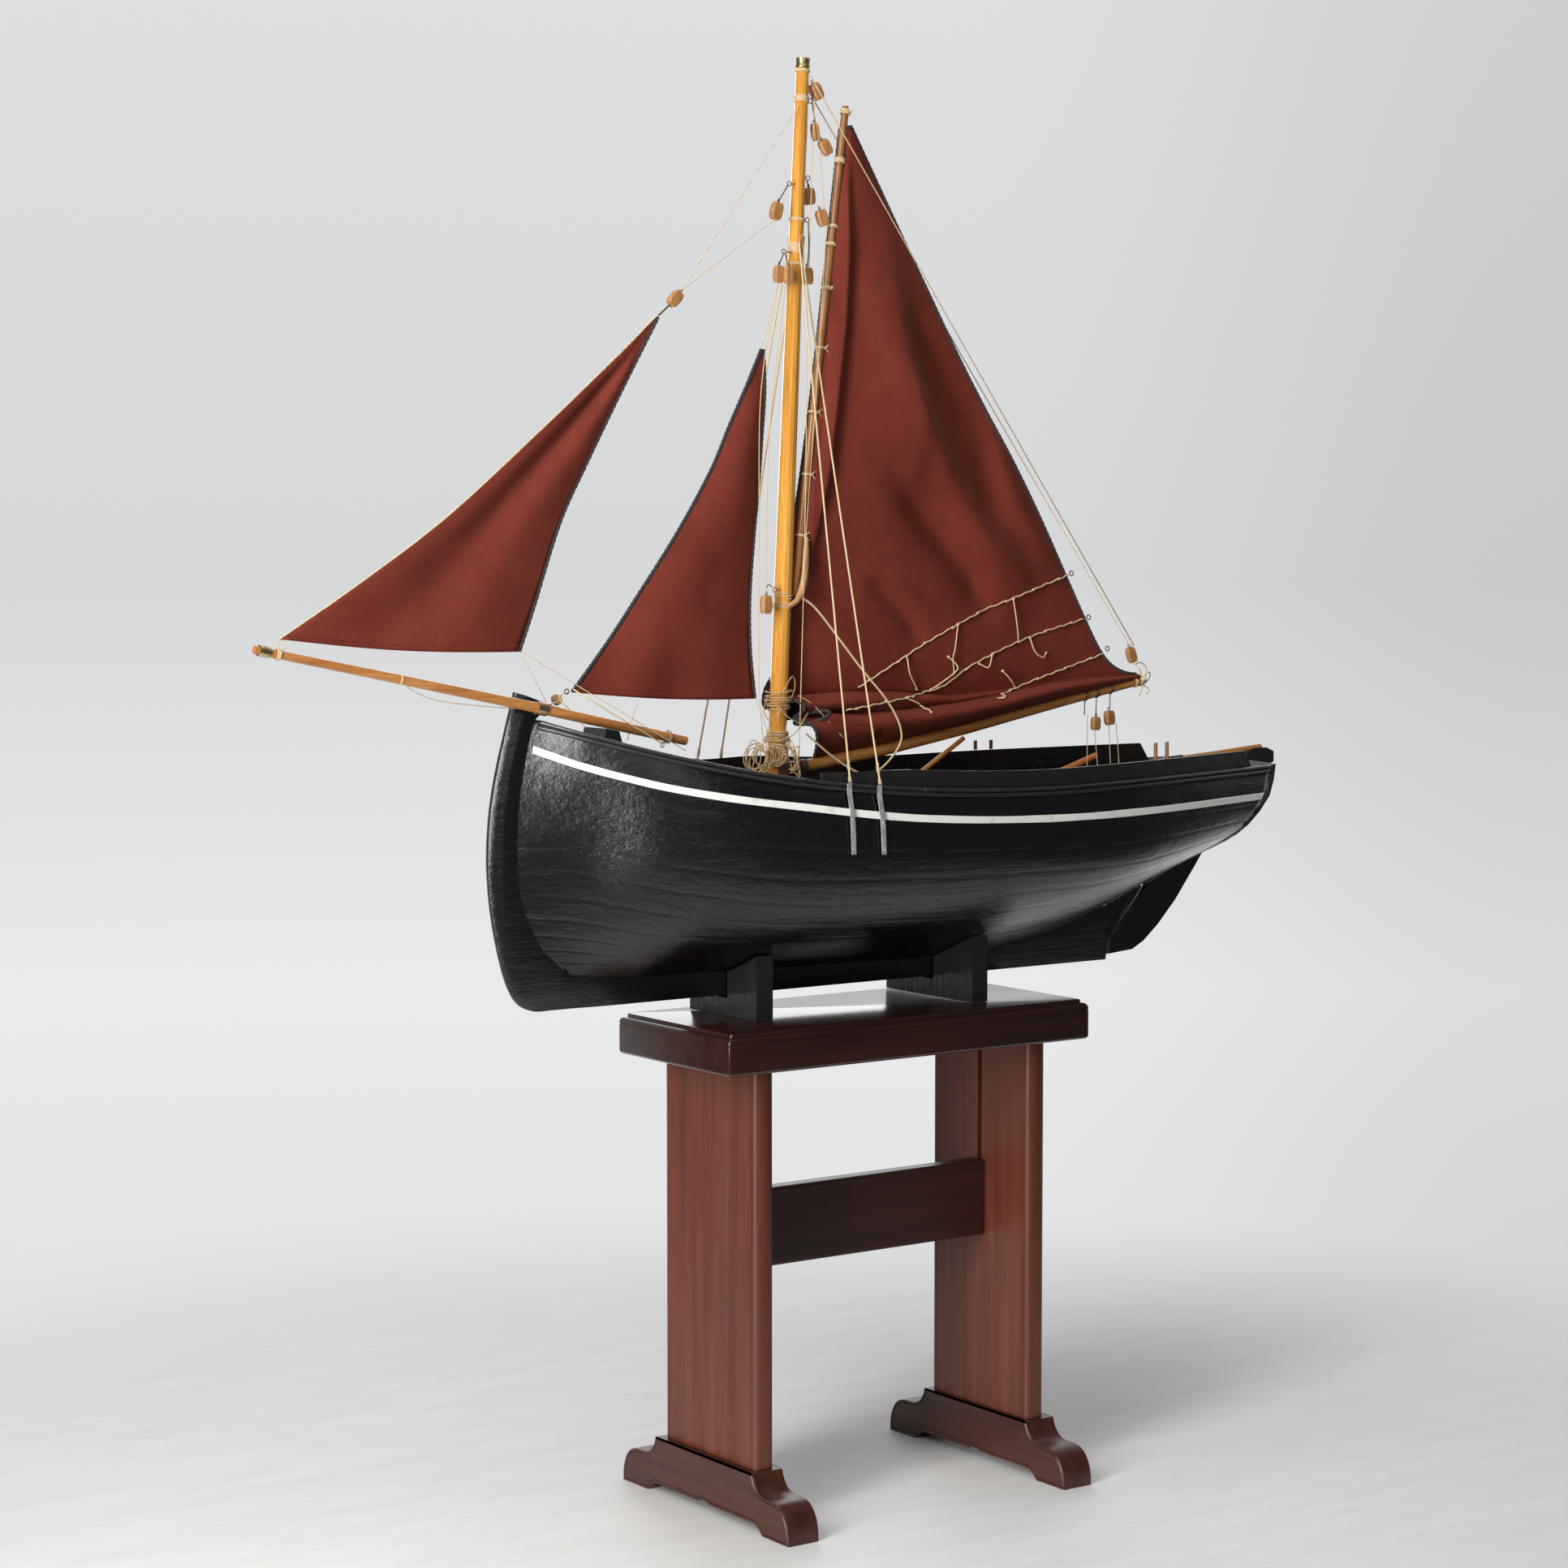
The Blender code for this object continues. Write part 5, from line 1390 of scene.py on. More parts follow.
# name, body, radius, way it lies, points of the boat from one end to the other
RUNNING_LINES = (
    ("jib_halyard", "boat", LINE, "taut", ((0.07, 0.006, 1.526), (0.217, 0.0, 1.3235))),
    ("jib_halyard_fall", "boat", LINE, "taut", ((0.0985, 0.007, 1.404), (0.123, 0.004, 1.388),
                                                (0.217, 0.001, 1.3235))),
    ("foresail_halyard", "boat", LINE, "taut", ((0.0955, 0.006, 1.336), (0.114, 0.0, 1.266))),
    ("peak_halyard_upper", "boat", LINE, "taut", ((0.0454, 0.003, 1.537), (0.0476, 0.003, 1.4968),
                                                  (0.0545, 0.005, 1.354))),
    ("peak_halyard_lower", "main_rig", LINE, "taut", ((0.036, 0.0, 1.479), (0.0305, 0.0, 1.4173))),
    ("throat_halyard", "main_rig", LINE, "taut", ((0.032, 0.006, 1.399), (0.044, 0.009, 1.26),
                                                  (0.064, 0.0125, 1.06), (0.071, 0.0135, 0.996))),
    ("halyard_fall_aft", "main_rig", LINE, "taut", ((0.058, 0.007, 1.336), (0.0665, 0.015, 1.09),
                                                (0.0735, 0.0165, 0.89), (0.0768, 0.017, 0.802))),
    ("halyard_fall_fore", "boat", LINE, "taut", ((0.0985, 0.008, 1.334), (0.1227, 0.0115, 1.22),
                                                 (0.126, 0.012, 1.0793), (0.1272, 0.013, 0.9122),
                                                 (0.123, 0.015, 0.838))),
    ("halyard_fall_inner", "boat", LINE, "taut", ((0.09, 0.0105, 1.334), (0.112, 0.0125, 1.18),
                                                  (0.1175, 0.013, 1.03), (0.1172, 0.0135, 0.999))),
    ("foresail_tack_line", "boat", TACK_LINE, "taut", ((0.3582, 0.004, 0.9009), (0.344, 0.016, 0.889),
                                                    (0.295, 0.025, 0.86), (0.26, 0.025, 0.841))),
    ("bowsprit_loose_line", "boat", LINE, "hanging", ((0.5718, 0.017, 0.915), (0.55, 0.014, 0.902),
                                                      (0.5164, 0.011, 0.8921), (0.4335, 0.01, 0.883),
                                                      (0.408, 0.011, 0.885))),
    ("foredeck_line", "boat", LINE, "hanging", ((0.2782, 0.002, 0.883), (0.2903, 0.01, 0.8625),
                                                (0.3009, 0.02, 0.846))),
    ("gaff_jaw_tail", "boat", LINE, "hanging", ((0.075, 0.014, 0.887), (0.056, 0.016, 0.876),
                                                (0.028, 0.02, 0.848), (0.02, 0.022, 0.84))),
)
# name, body that swings, points of the boat from the fixed end to the swinging end
CROSSING_LINES = (
    ("foresail_sheet", "foresail_unit", ((0.111, 0.01, 0.843), (0.1235, 0.0005, 0.887))),
    ("jib_sheet_short", "jib_unit", ((0.392, 0.005, 0.888), (0.4243, 0.0051, 0.943))),
    ("jib_sheet_long", "jib_unit", ((0.2339, 0.03, 0.833), (0.33, 0.018, 0.888),
                                    (0.4243, 0.0051, 0.943))),
    ("mainsheet_part_1", "main_rig", ((-0.3511, 0.0, 0.78), (-0.3508, 0.0, 0.852))),
    ("mainsheet_part_2", "main_rig", ((-0.3685, 0.0, 0.78), (-0.3621, 0.0, 0.834))),
    ("mainsheet_part_3", "main_rig", ((-0.3878, 0.0, 0.78), (-0.3838, 0.0, 0.841))),
    ("mainsheet_part_4", "main_rig", ((-0.4017, 0.0, 0.78), (-0.395, 0.0, 0.841))),
)


def make_running_lines():
    cord("halyard_tail_line", boat_path(HALYARD_TAIL), TAIL_LINE, "main_rig", "halyard_tail")
    for name, body, radius, lay, points in RUNNING_LINES:
        cord(name, boat_path(points), radius, body)
    for name, child, points in CROSSING_LINES:
        crossing_line(name, points)


REEF_ROWS = (
    ((-0.3201, 1.0167), (-0.2293, 0.9894), (-0.1495, 0.961), (-0.0673, 0.9214), (-0.0179, 0.893)),
    ((-0.3414, 0.9645), (-0.252, 0.9435), (-0.1716, 0.9146), (-0.1292, 0.89), (-0.0716, 0.88),
     (0.0115, 0.869)),
    ((-0.3716, 0.9232), (-0.2809, 0.899), (-0.2295, 0.883), (-0.2017, 0.876)),
)
REEF_POINTS = (
    ((-0.1507, 0.9615), (-0.1441, 0.933), (-0.1419, 0.9248), (-0.1466, 0.905)),
    ((-0.2323, 0.989), (-0.2354, 0.96), (-0.2409, 0.94)),
    ((-0.0792, 0.9268), (-0.0824, 0.907), (-0.0989, 0.889)),
    ((-0.259, 0.9445), (-0.264, 0.9285), (-0.2757, 0.9215), (-0.2838, 0.9268)),
    ((-0.2008, 0.925), (-0.193, 0.912), (-0.1825, 0.916)),
    ((-0.138, 0.925), (-0.1478, 0.915), (-0.1447, 0.907), (-0.1182, 0.888)),
    ((-0.2185, 0.907), (-0.2308, 0.895), (-0.2405, 0.888)),
    ((-0.0766, 0.88), (-0.094, 0.872), (-0.099, 0.864)),
)
CRINGLES = ((-0.3225, 1.0175), (-0.349, 0.966), (-0.378, 0.929))
REEF_KNOT_EVERY = 14  # points of the row's path


def surface_finder(columns):
    """Gives on_sail(x, z, lift): a point that stands off the sail's port side by the lift."""
    flat = [point for column in columns for point in column]
    tree = kdtree.KDTree(len(flat))
    for index, point in enumerate(flat):
        tree.insert((point.x, 0, point.z), index)
    tree.balance()

    def on_sail(x, z, lift):
        near = [flat[index].y for _, index, _ in tree.find_n((x, 0, z), 10)]
        return at(x, max(near) + lift, z)

    return on_sail


def make_reef_gear(columns):
    """Reef rows, loose reef points and the black cringles on the leech, as three pieces."""
    on_sail = surface_finder(columns)
    rows, knots, rings = bmesh.new(), bmesh.new(), bmesh.new()
    for row in REEF_ROWS:
        path = even_path(smooth_path(flat_line(row), 8), 0.003)
        laid = [on_sail(p.x, p.z + 0.0006 * math.sin(i * 1.1), 0.0014) for i, p in enumerate(path)]
        add_laid_rope(rows, laid, 0.001, 0.0045, strands=2, sides=8)
        for i in range(6, len(laid) - 2, REEF_KNOT_EVERY):
            add_ball(knots, laid[i], 0.0017, (1.2, 0.8, 1.0))
    for points in REEF_POINTS:
        path = smooth_path(flat_line(points), 7)
        bows = [0.0015 + 0.004 * math.sin(math.pi * i / (len(path) - 1)) for i in range(len(path))]
        laid = [on_sail(p.x, p.z, bow) for p, bow in zip(path, bows)]
        add_laid_rope(rows, laid, 0.0009, 0.0042, strands=2, sides=8)
        add_ball(knots, laid[0], 0.0018)
        add_ball(knots, laid[-1], 0.0014)
    for x, z in CRINGLES:
        add_ring(rings, at(x - 0.0028, 0, z + 0.0006), (0, 1, 0.2), 0.0028, 0.0013, steps=18)
    return [mesh_piece("reef_lines", rows, "main_rig", "cord", 70),
            mesh_piece("reef_knots", knots, "main_rig", "cord"),
            mesh_piece("leech_cringles", rings, "main_rig", "black_rope")]


# --- blocks and eyes ---
SHEAVE_PIN = ((0, 0.0011), (1, 0.0009))  # part of the length, radius


def squared(value):
    """Pushes a sine or cosine outwards, so that a circle becomes a box with round corners."""
    return math.copysign(abs(value) ** 0.35, value)


def add_block(shell, strop, pin, centre, axis, length, width, depth):
    """A wooden block: a rounded shell with a score down its sides, its eye, and the sheave's pin."""
    axis = Vector(axis).normalized()
    across = Vector((0, 1, 0))
    side = across.cross(axis).normalized()
    sections = []
    for part in np.linspace(-1, 1, 15):
        swell = max((1 - abs(part) ** 6) ** 0.5, 0.74)
        half_width, half_depth = swell * width / 2, (0.55 + 0.45 * swell) * depth / 2
        ring = []
        for i in range(20):
            angle = 2 * math.pi * i / 20
            score = 0.8 if abs(math.cos(angle)) < 0.2 else 1.0
            ring.append(centre + axis * (part * length / 2) + side * (squared(math.cos(angle)) * half_width)
                        + across * (squared(math.sin(angle)) * score * half_depth))
        sections.append(ring)
    add_grid(shell, sections, closed=True, capped=True)
    top = centre - axis * (length / 2 + 0.0022)
    add_ring(strop, top, side, 0.0018, 0.0011, steps=16)
    for sign in (1, -1):
        middle = centre + side * (sign * width * 0.47)
        add_turned(pin, middle - side * 0.0004, middle + side * 0.0006 * sign, SHEAVE_PIN, 12)


# centre, way it points, length, width, depth
BOAT_BLOCKS = (
    ((0.0411, 0.0, 1.5451), (-0.5, 0, -0.85), 0.018, 0.0125, 0.0095),
    ((0.0428, 0.0, 1.5009), (-0.15, 0, -1), 0.019, 0.008, 0.008),
    ((0.0988, 0.006, 1.4123), (0.25, 0, -0.97), 0.0185, 0.013, 0.0095),
    ((0.0479, -0.004, 1.4316), (-0.1, 0, -1), 0.018, 0.0125, 0.009),
    ((0.0957, 0.006, 1.3445), (0.05, 0, -1), 0.018, 0.0115, 0.008),
    ((0.0866, 0.0115, 1.3437), (0.02, 0, -1), 0.018, 0.0105, 0.008),
    ((0.056, 0.004, 1.3444), (-0.05, 0, -1), 0.018, 0.012, 0.0085),
    ((0.1167, 0.012, 0.987), (0.03, 0, -1), 0.02, 0.012, 0.009),
    ((0.2265, 0.0, 1.3135), (0.7, 0, -0.72), 0.018, 0.0125, 0.009),
)
RIG_BLOCKS = (
    ((0.029, 0.0, 1.4856), (-0.57, 0, -0.82), 0.0175, 0.012, 0.009),
    ((0.0333, 0.0, 1.4087), (-0.35, 0, -0.94), 0.018, 0.0125, 0.009),
    ((-0.3636, 0.0, 0.8419), (0.05, 0, -1), 0.0155, 0.011, 0.008),
)
BOOM_END_BLOCK = (((-0.4181, 0, 0.9213), (-0.35, 0, -0.93), 0.018, 0.0115, 0.0085),)
MAINSHEET_BLOCK = (((-0.3848, 0, 0.848), (-0.12, 0, -1), 0.0165, 0.0125, 0.0085),)


def block_set(name, body, blocks, stands_for=None):
    shells, strops, pins = bmesh.new(), bmesh.new(), bmesh.new()
    for centre, axis, length, width, depth in blocks:
        add_block(shells, strops, pins, at(*centre), axis, length, width, depth)
    shell = mesh_piece(name + "_shells", shells, body, "block_wood", 30)
    mesh_piece(name + "_strops", strops, body, "wire", 70)
    mesh_piece(name + "_pins", pins, body, "brass")
    if stands_for:
        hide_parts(stands_for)


def make_blocks():
    block_set("mast_blocks", "boat", BOAT_BLOCKS)
    block_set("gaff_blocks", "main_rig", RIG_BLOCKS)
    block_set("boom_end_lift", "main_rig", BOOM_END_BLOCK, "boom_end_block")
    block_set("sheet_block", "main_rig", MAINSHEET_BLOCK, "mainsheet_block")


WIRE_TWIST = 0.003


def wire_run(bm, points, radius):
    add_laid_rope(bm, boat_path(points, 5), radius, WIRE_TWIST, strands=2, sides=8)


def add_runs(bm, runs, radius, steps=6):
    """Plain round cords through points of the boat."""
    for points in runs:
        add_tube(bm, boat_path(points, steps), radius, 8)


def spar_turns(bm, turns, place, axis, thickness):
    """Whippings on a spar: for each, its place, number of turns and spread."""
    for along, count, spread in turns:
        centre, radius = place(along)
        add_ring(bm, centre, axis, radius, thickness, count, spread)


# x, y and z of each eye on the mast, and the side that it is on
SCREW_EYES = ((0.053, 0.002, 1.5337, -1), (0.079, 0.006, 1.4427, 1), (0.0562, 0.002, 1.4505, -1),
              (0.0573, 0.002, 1.4053, -1), (0.087, 0.007, 1.3691, 1), (0.101, 0.01, 1.003, 1))
BLOCK_STROPS = (
    ((0.05, 0.003, 1.535), (0.045, 0.001, 1.554)),
    ((0.047, 0.0, 1.535), (0.043, 0.0, 1.5115)),
    ((0.084, 0.007, 1.441), (0.096, 0.006, 1.4225)),
    ((0.054, 0.0, 1.448), (0.049, -0.003, 1.442)),
    ((0.09, 0.008, 1.368), (0.0955, 0.006, 1.355)),
    ((0.089, 0.009, 1.367), (0.0866, 0.0115, 1.3545)),
    ((0.054, 0.003, 1.403), (0.054, 0.004, 1.375), (0.056, 0.004, 1.355)),
)
JIB_HEAD_STROP = ((0.2335, 0.0, 1.3065), (0.24, 0.0, 1.301), (0.2475, 0.0, 1.295))
LOW_BLOCK_HOOK = ((0.106, 0.008, 1.006), (0.113, 0.011, 1.0085), (0.1167, 0.012, 1.0037),
                  (0.1167, 0.012, 0.9985))
# height, number of turns, spread
MAST_WHIPPINGS = ((1.566, 3, 0.003), (1.5356, 6, 0.007), (1.405, 3, 0.003), (1.374, 9, 0.011),
                  (1.3569, 3, 0.003), (0.996, 2, 0.006), (0.985, 3, 0.006))
MAST_AXIS = (MAST_RAKE, 0, 1)
EYE_SHANK = 0.0007
EYE_RADIUS = 0.0026


def round_mast(z):
    return at(mast_x(z), 0, z), mast_radius(z) + 0.0005


def make_mast_ironwork():
    """Screw eyes and wire strops on the mast, and the whippings round it."""
    wires = bmesh.new()
    for x, y, z, side in SCREW_EYES:
        add_tube(wires, [at(mast_x(z), 0, z), at(x, y, z)], EYE_SHANK, 8)
        add_ring(wires, at(x + side * 0.0025, y, z), (0, 1, 0.1), EYE_RADIUS, 0.0011, steps=18)
    for points in BLOCK_STROPS:
        wire_run(wires, points, 0.0009)
    wire_run(wires, JIB_HEAD_STROP, 0.0012)
    add_runs(wires, [LOW_BLOCK_HOOK], 0.0006, 5)
    mesh_piece("mast_eyes_and_strops", wires, "boat", "wire")
    turns = bmesh.new()
    spar_turns(turns, MAST_WHIPPINGS, round_mast, MAST_AXIS, 0.0012)
    mesh_piece("mast_whippings", turns, "boat", "cord")


def make_cheeks(name_end, body, look, section, rows):
    """A port and a starboard piece through the sections of its rows, with rounded edges."""
    for side, word in SIDES:
        cheek = solid_loft(word + name_end, [section(side, *row) for row in rows], body, look)
        round_off(cheek, 0.0008, 2)


def hound_section(side, z, reach, half):
    x = mast_x(z)
    return [at(x + half, side * 0.006, z), at(x + half, side * reach, z), at(x - half, side * reach, z),
            at(x - half, side * 0.006, z)]


# height, how far out it reaches, half of its width
HOUND_ROWS = ((1.364, 0.0086, 0.0016), (1.37, 0.01, 0.003), (1.38, 0.0118, 0.0034),
              (1.386, 0.0122, 0.0034), (1.3875, 0.0112, 0.0028))
# part of the cap's height, radius
CAP_PROFILE = ((0.0, 0.0079), (0.06, 0.0083), (0.14, 0.0083), (0.2, 0.0078), (0.8, 0.0077), (0.86, 0.0083),
               (0.94, 0.0083), (0.99, 0.0076), (1.0, 0.0064))


def make_mast_cap():
    """A turned brass cap with a rolled rim."""
    low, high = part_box("mast_cap")
    cap = turned_piece("turned_mast_cap", "boat", "brass", at(mast_x(low[2]), 0, low[2] + 0.0002),
                       at(mast_x(high[2]), 0, high[2]), CAP_PROFILE, 32)
    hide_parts("mast_cap")


# --- gaff and boom fittings ---
BAMBOO_NODES = (1.466, 1.3755, 1.285, 1.193, 1.098)
# height above a node, extra radius
BAMBOO_RIDGE = ((-0.0045, 0.0), (-0.0018, 0.00045), (0.0, 0.0006), (0.0008, -0.00025), (0.002, 0.0003),
                (0.005, 0.0))
# height, number of turns, spread, and whether a knot with two tails shows
GAFF_LACING = ((1.5257, 5, 0.0055, True), (1.4725, 5, 0.006, False), (1.4004, 3, 0.0035, False),
               (1.3809, 3, 0.0035, False), (1.3328, 3, 0.0035, True), (1.267, 2, 0.0024, True),
               (1.1968, 2, 0.0024, True), (1.1284, 2, 0.0024, True), (1.0618, 2, 0.0024, True))
KNOT_TAILS = (((-0.003, 0.001, 0.003), (-0.005, 0.001, 0.0025)),
              ((-0.002, 0.001, -0.004), (-0.0045, 0.001, -0.0055)))


def make_gaff():
    """A bamboo cane: each node is a low ridge with a groove above it."""
    length = GAFF_HEAD.z - GAFF_FOOT.z
    stops = [(float(z), 0.0) for z in np.linspace(GAFF_FOOT.z, GAFF_HEAD.z, 60)]
    for z in BAMBOO_NODES:
        stops += [(z + up, extra) for up, extra in BAMBOO_RIDGE]
    stops.sort()
    profile = []
    for z, extra in stops:
        part = (z - GAFF_FOOT.z) / length
        radius = 0.005 - 0.0008 * part + extra + 0.00012 * math.sin(z * 130)
        profile.append((part, radius))
    profile = [(max(part, 0.002), radius) for part, radius in profile[:-1]]
    profile = [(0.0, 0.0036)] + profile + [(1.0, 0.0034)]
    bm = bmesh.new()
    add_turned(bm, BOAT + GAFF_FOOT, BOAT + GAFF_HEAD, profile, 24)
    gaff = mesh_piece("bamboo_gaff", bm, "main_rig", "bamboo", 50)
    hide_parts("gaff")


def make_gaff_lashings():
    """The lacing that holds the sail to the gaff, with its knots and their tails."""
    bm = bmesh.new()
    for z, count, spread, has_tails in GAFF_LACING:
        centre = at(gaff_x(z), 0, z)
        add_ring(bm, centre, GAFF_HEAD - GAFF_FOOT, 0.0057, 0.0011, count, spread)
        if has_tails:
            knot = centre + Vector((-0.0042, 0.0046, 0.0004))
            add_ball(bm, knot, 0.0018)
            for tail in KNOT_TAILS:
                add_tube(bm, [knot] + [knot + Vector(step) for step in tail], 0.0005, 6)
    mesh_piece("gaff_lacing", bm, "main_rig", "cord")


# x, how far out and z of a jaw's arm, from the gaff to its tip; and its radius along the arm
JAW_ARM = ((0.057, 0.0045, 1.06), (0.0605, 0.0075, 1.035), (0.066, 0.011, 1.01), (0.076, 0.0138, 0.992),
           (0.09, 0.014, 0.984))
JAW_RADII = ((0.0, 0.0016), (0.15, 0.0036), (0.6, 0.004), (1.0, 0.0028))


def make_gaff_jaws():
    """Two bent wooden arms that hold the mast between them, lashed to the gaff."""
    bm = bmesh.new()
    for side in (1, -1):
        path = boat_path([(x, side * out, z) for x, out, z in JAW_ARM], 6)
        radii = np.interp(np.linspace(0, 1, len(path)), *zip(*JAW_RADII))
        add_tube(bm, path, list(radii), 12)
    jaws = mesh_piece("bent_gaff_jaws", bm, "main_rig", "pale_wood")
    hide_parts("gaff_jaws")


BOOM_AXIS = (-1, 0, 0.19)
BOOM_END_TURNS = ((-0.433, 5, 0.006), (-0.424, 2, 0.003))  # x, number of turns, spread
BOOM_END_LOOPS = (
    ((-0.433, 0.005, 0.896), (-0.44, 0.006, 0.901), (-0.445, 0.003, 0.896), (-0.44, 0.002, 0.889),
     (-0.433, 0.005, 0.888)),
    ((-0.43, 0.004, 0.896), (-0.426, 0.007, 0.903), (-0.421, 0.002, 0.911)),
    ((-0.433, 0.004, 0.886), (-0.429, 0.006, 0.879), (-0.428, 0.004, 0.873)),
    ((-0.438, 0.003, 0.896), (-0.443, -0.002, 0.906), (-0.435, -0.003, 0.912), (-0.424, 0.0, 0.91)),
    ((-0.436, 0.002, 0.885), (-0.442, 0.006, 0.88), (-0.439, 0.003, 0.875)),
)
# x of each strop under the boom, and the height that it hangs down to
BOOM_STROPS = ((-0.3636, 0.8515), (-0.3848, 0.8585), (-0.346, 0.8525))
FERRULE_PROFILE = ((0, 0.007), (0.05, 0.0078), (0.95, 0.0078), (1, 0.007))


def round_boom(x):
    z, radius = boom_at(x)
    return at(x, 0, z), radius + 0.0008


def make_boom_fittings():
    """The lashing at the boom's end, the strops of its blocks and the ferrule at the mast."""
    bm = bmesh.new()
    spar_turns(bm, BOOM_END_TURNS, round_boom, BOOM_AXIS, 0.0014)
    add_runs(bm, BOOM_END_LOOPS, 0.0007)
    add_ball(bm, at(-0.433, 0.006, 0.8925), 0.003)
    mesh_piece("boom_end_lashing", bm, "main_rig", "cord")
    wires = bmesh.new()
    for x, drop_to in BOOM_STROPS:
        z, radius = boom_at(x)
        add_ring(wires, at(x, 0, z), BOOM_AXIS, radius + 0.0005, 0.0009, 3, 0.003)
        wire_run(wires, ((x, 0.001, z - radius), (x - 0.0003, 0.0, drop_to)), 0.0008)
    mesh_piece("boom_strops", wires, "main_rig", "wire")
    turned_piece("boom_ferrule", "main_rig", "wire", at(0.056, 0, boom_at(0.056)[0]),
                 at(0.064, 0, 0.8076), FERRULE_PROFILE, 24)


# --- lashings and coils at the mast foot ---
def loose_turns(bm, centre, axis, radius, thickness, count, spread, seed):
    """Turns of slack cord round a spar, none quite level or round."""
    axis = Vector(axis).normalized()
    for turn in range(count):
        level = centre + axis * (spread * (turn / max(count - 1, 1) - 0.5))
        tilt_x = 0.25 * wobble(turn, seed, 0, 1.7)
        tilt_y = 0.25 * wobble(turn, seed, 5, 1.7)
        points = []
        for i in range(33):
            angle = 2 * math.pi * i / 32
            reach = radius * (1 + 0.1 * wobble(turn + math.cos(angle), seed + math.sin(angle), 2, 1.1))
            points.append(level + Vector((reach * math.cos(angle), reach * math.sin(angle),
                                          reach * (tilt_x * math.cos(angle) + tilt_y * math.sin(angle)))))
        add_tube(bm, points, thickness / 2, 7)


def coil(bm, centre, half_wide, half_high, facing, loops, thickness, seed):
    """A hank of cord: many flattened loops, each a little different."""
    facing = Vector(facing).normalized()
    side = facing.cross(Vector((0, 0, 1))).normalized()
    draw = random.Random(seed)
    for _ in range(loops):
        wide, high = half_wide * draw.uniform(0.35, 1.0), half_high * draw.uniform(0.6, 1.1)
        lean, depth = draw.uniform(-0.5, 0.5), draw.uniform(0.0, 0.006)
        shift = side * (half_wide * draw.uniform(-0.45, 0.45))
        shift += Vector((0, 0, half_high * draw.uniform(-0.2, 0.1)))
        points = []
        for turn in np.linspace(0, 2 * math.pi, 37):
            across = wide * math.cos(turn) * (1 - 0.25 * math.sin(turn))
            up = high * math.sin(turn) + 0.1 * high * math.sin(3 * turn + depth * 900)
            points.append(centre + shift + side * (across * math.cos(lean) - up * math.sin(lean))
                          + Vector((0, 0, across * math.sin(lean) + up * math.cos(lean)))
                          + facing * (depth + 0.0018 * math.sin(2 * turn + depth * 2000)))
        add_tube(bm, points, thickness / 2, 7)


# height, radius, turns, spread and seed of the slack turns round the mast's foot
SLACK_TURNS = ((0.886, 0.015, 5, 0.012, 1.0), (0.876, 0.0125, 4, 0.006, 5.0),
               (0.844, 0.0118, 6, 0.007, 2.0), (0.838, 0.014, 4, 0.004, 3.0))
MAST_FOOT_TAILS = (
    ((0.106, 0.013, 0.88), (0.09, 0.016, 0.864), (0.07, 0.014, 0.856), (0.056, 0.012, 0.857)),
    ((0.098, 0.013, 0.84), (0.082, 0.016, 0.845), (0.07, 0.017, 0.86), (0.062, 0.014, 0.868)),
    ((0.112, 0.008, 0.889), (0.118, 0.01, 0.87), (0.11, 0.013, 0.86), (0.098, 0.013, 0.872)),
    ((0.096, 0.013, 0.89), (0.082, 0.012, 0.908), (0.076, 0.009, 0.898), (0.082, 0.011, 0.884)),
)
# centre, half of the width, half of the height, number of loops, seed
COILS = (((0.123, 0.01, 0.8215), 0.013, 0.017, 9, 1), ((0.104, 0.014, 0.824), 0.011, 0.0125, 9, 4),
         ((0.085, 0.012, 0.819), 0.008, 0.017, 7, 8))
COILS_FACE = (0.58, 0.81, 0)
OLD_CORD = 0.0012


def make_mast_foot():
    """Slack turns, their tails and three hanks of cord round the mast's foot."""
    bm = bmesh.new()
    for z, radius, count, spread, seed in SLACK_TURNS:
        loose_turns(bm, at(mast_x(z), 0, z), MAST_AXIS, radius, OLD_CORD, count, spread, seed)
    add_runs(bm, MAST_FOOT_TAILS, OLD_CORD / 2, 7)
    mesh_piece("mast_foot_lashings", bm, "boat", "old_cord")
    hanks = bmesh.new()
    for centre, half_wide, half_high, loops, seed in COILS:
        coil(hanks, at(*centre), half_wide, half_high, COILS_FACE, loops, OLD_CORD, seed)
    mesh_piece("mast_foot_coils", hanks, "boat", "old_cord")


# --- bow and stern fittings ---
BOWSPRIT_AXIS = (0.978, 0, 0.206)
TACK_BEAD = (0.3763, 0, 0.8903)
TACK_TAILS = (((0.3763, 0.004, 0.8903), (0.37, 0.01, 0.883), (0.3546, 0.02, 0.862)),
              ((0.3763, 0.002, 0.8903), (0.385, 0.004, 0.886), (0.395, 0.007, 0.8845)),
              ((0.3763, 0.0, 0.892), (0.369, 0.0, 0.896), (0.36, 0.0, 0.8985)))
# profiles: part of the length, radius
BEAD_PROFILE = ((0, 0.0022), (0.15, 0.0042), (0.5, 0.0052), (0.85, 0.0042), (1, 0.0022))
FAIRLEAD_PROFILE = ((0, 0.003), (0.08, 0.0046), (0.92, 0.0046), (1, 0.003))
HORN_PROFILE = ((0, 0.0006), (0.2, 0.0014), (0.5, 0.0018), (0.8, 0.0014), (1, 0.0006))
POST_PROFILE = ((0, 0.0022), (1, 0.0014))
SLEEVE_PROFILE = ((0, 0.0032), (0.04, 0.0042), (0.96, 0.004), (1, 0.003))


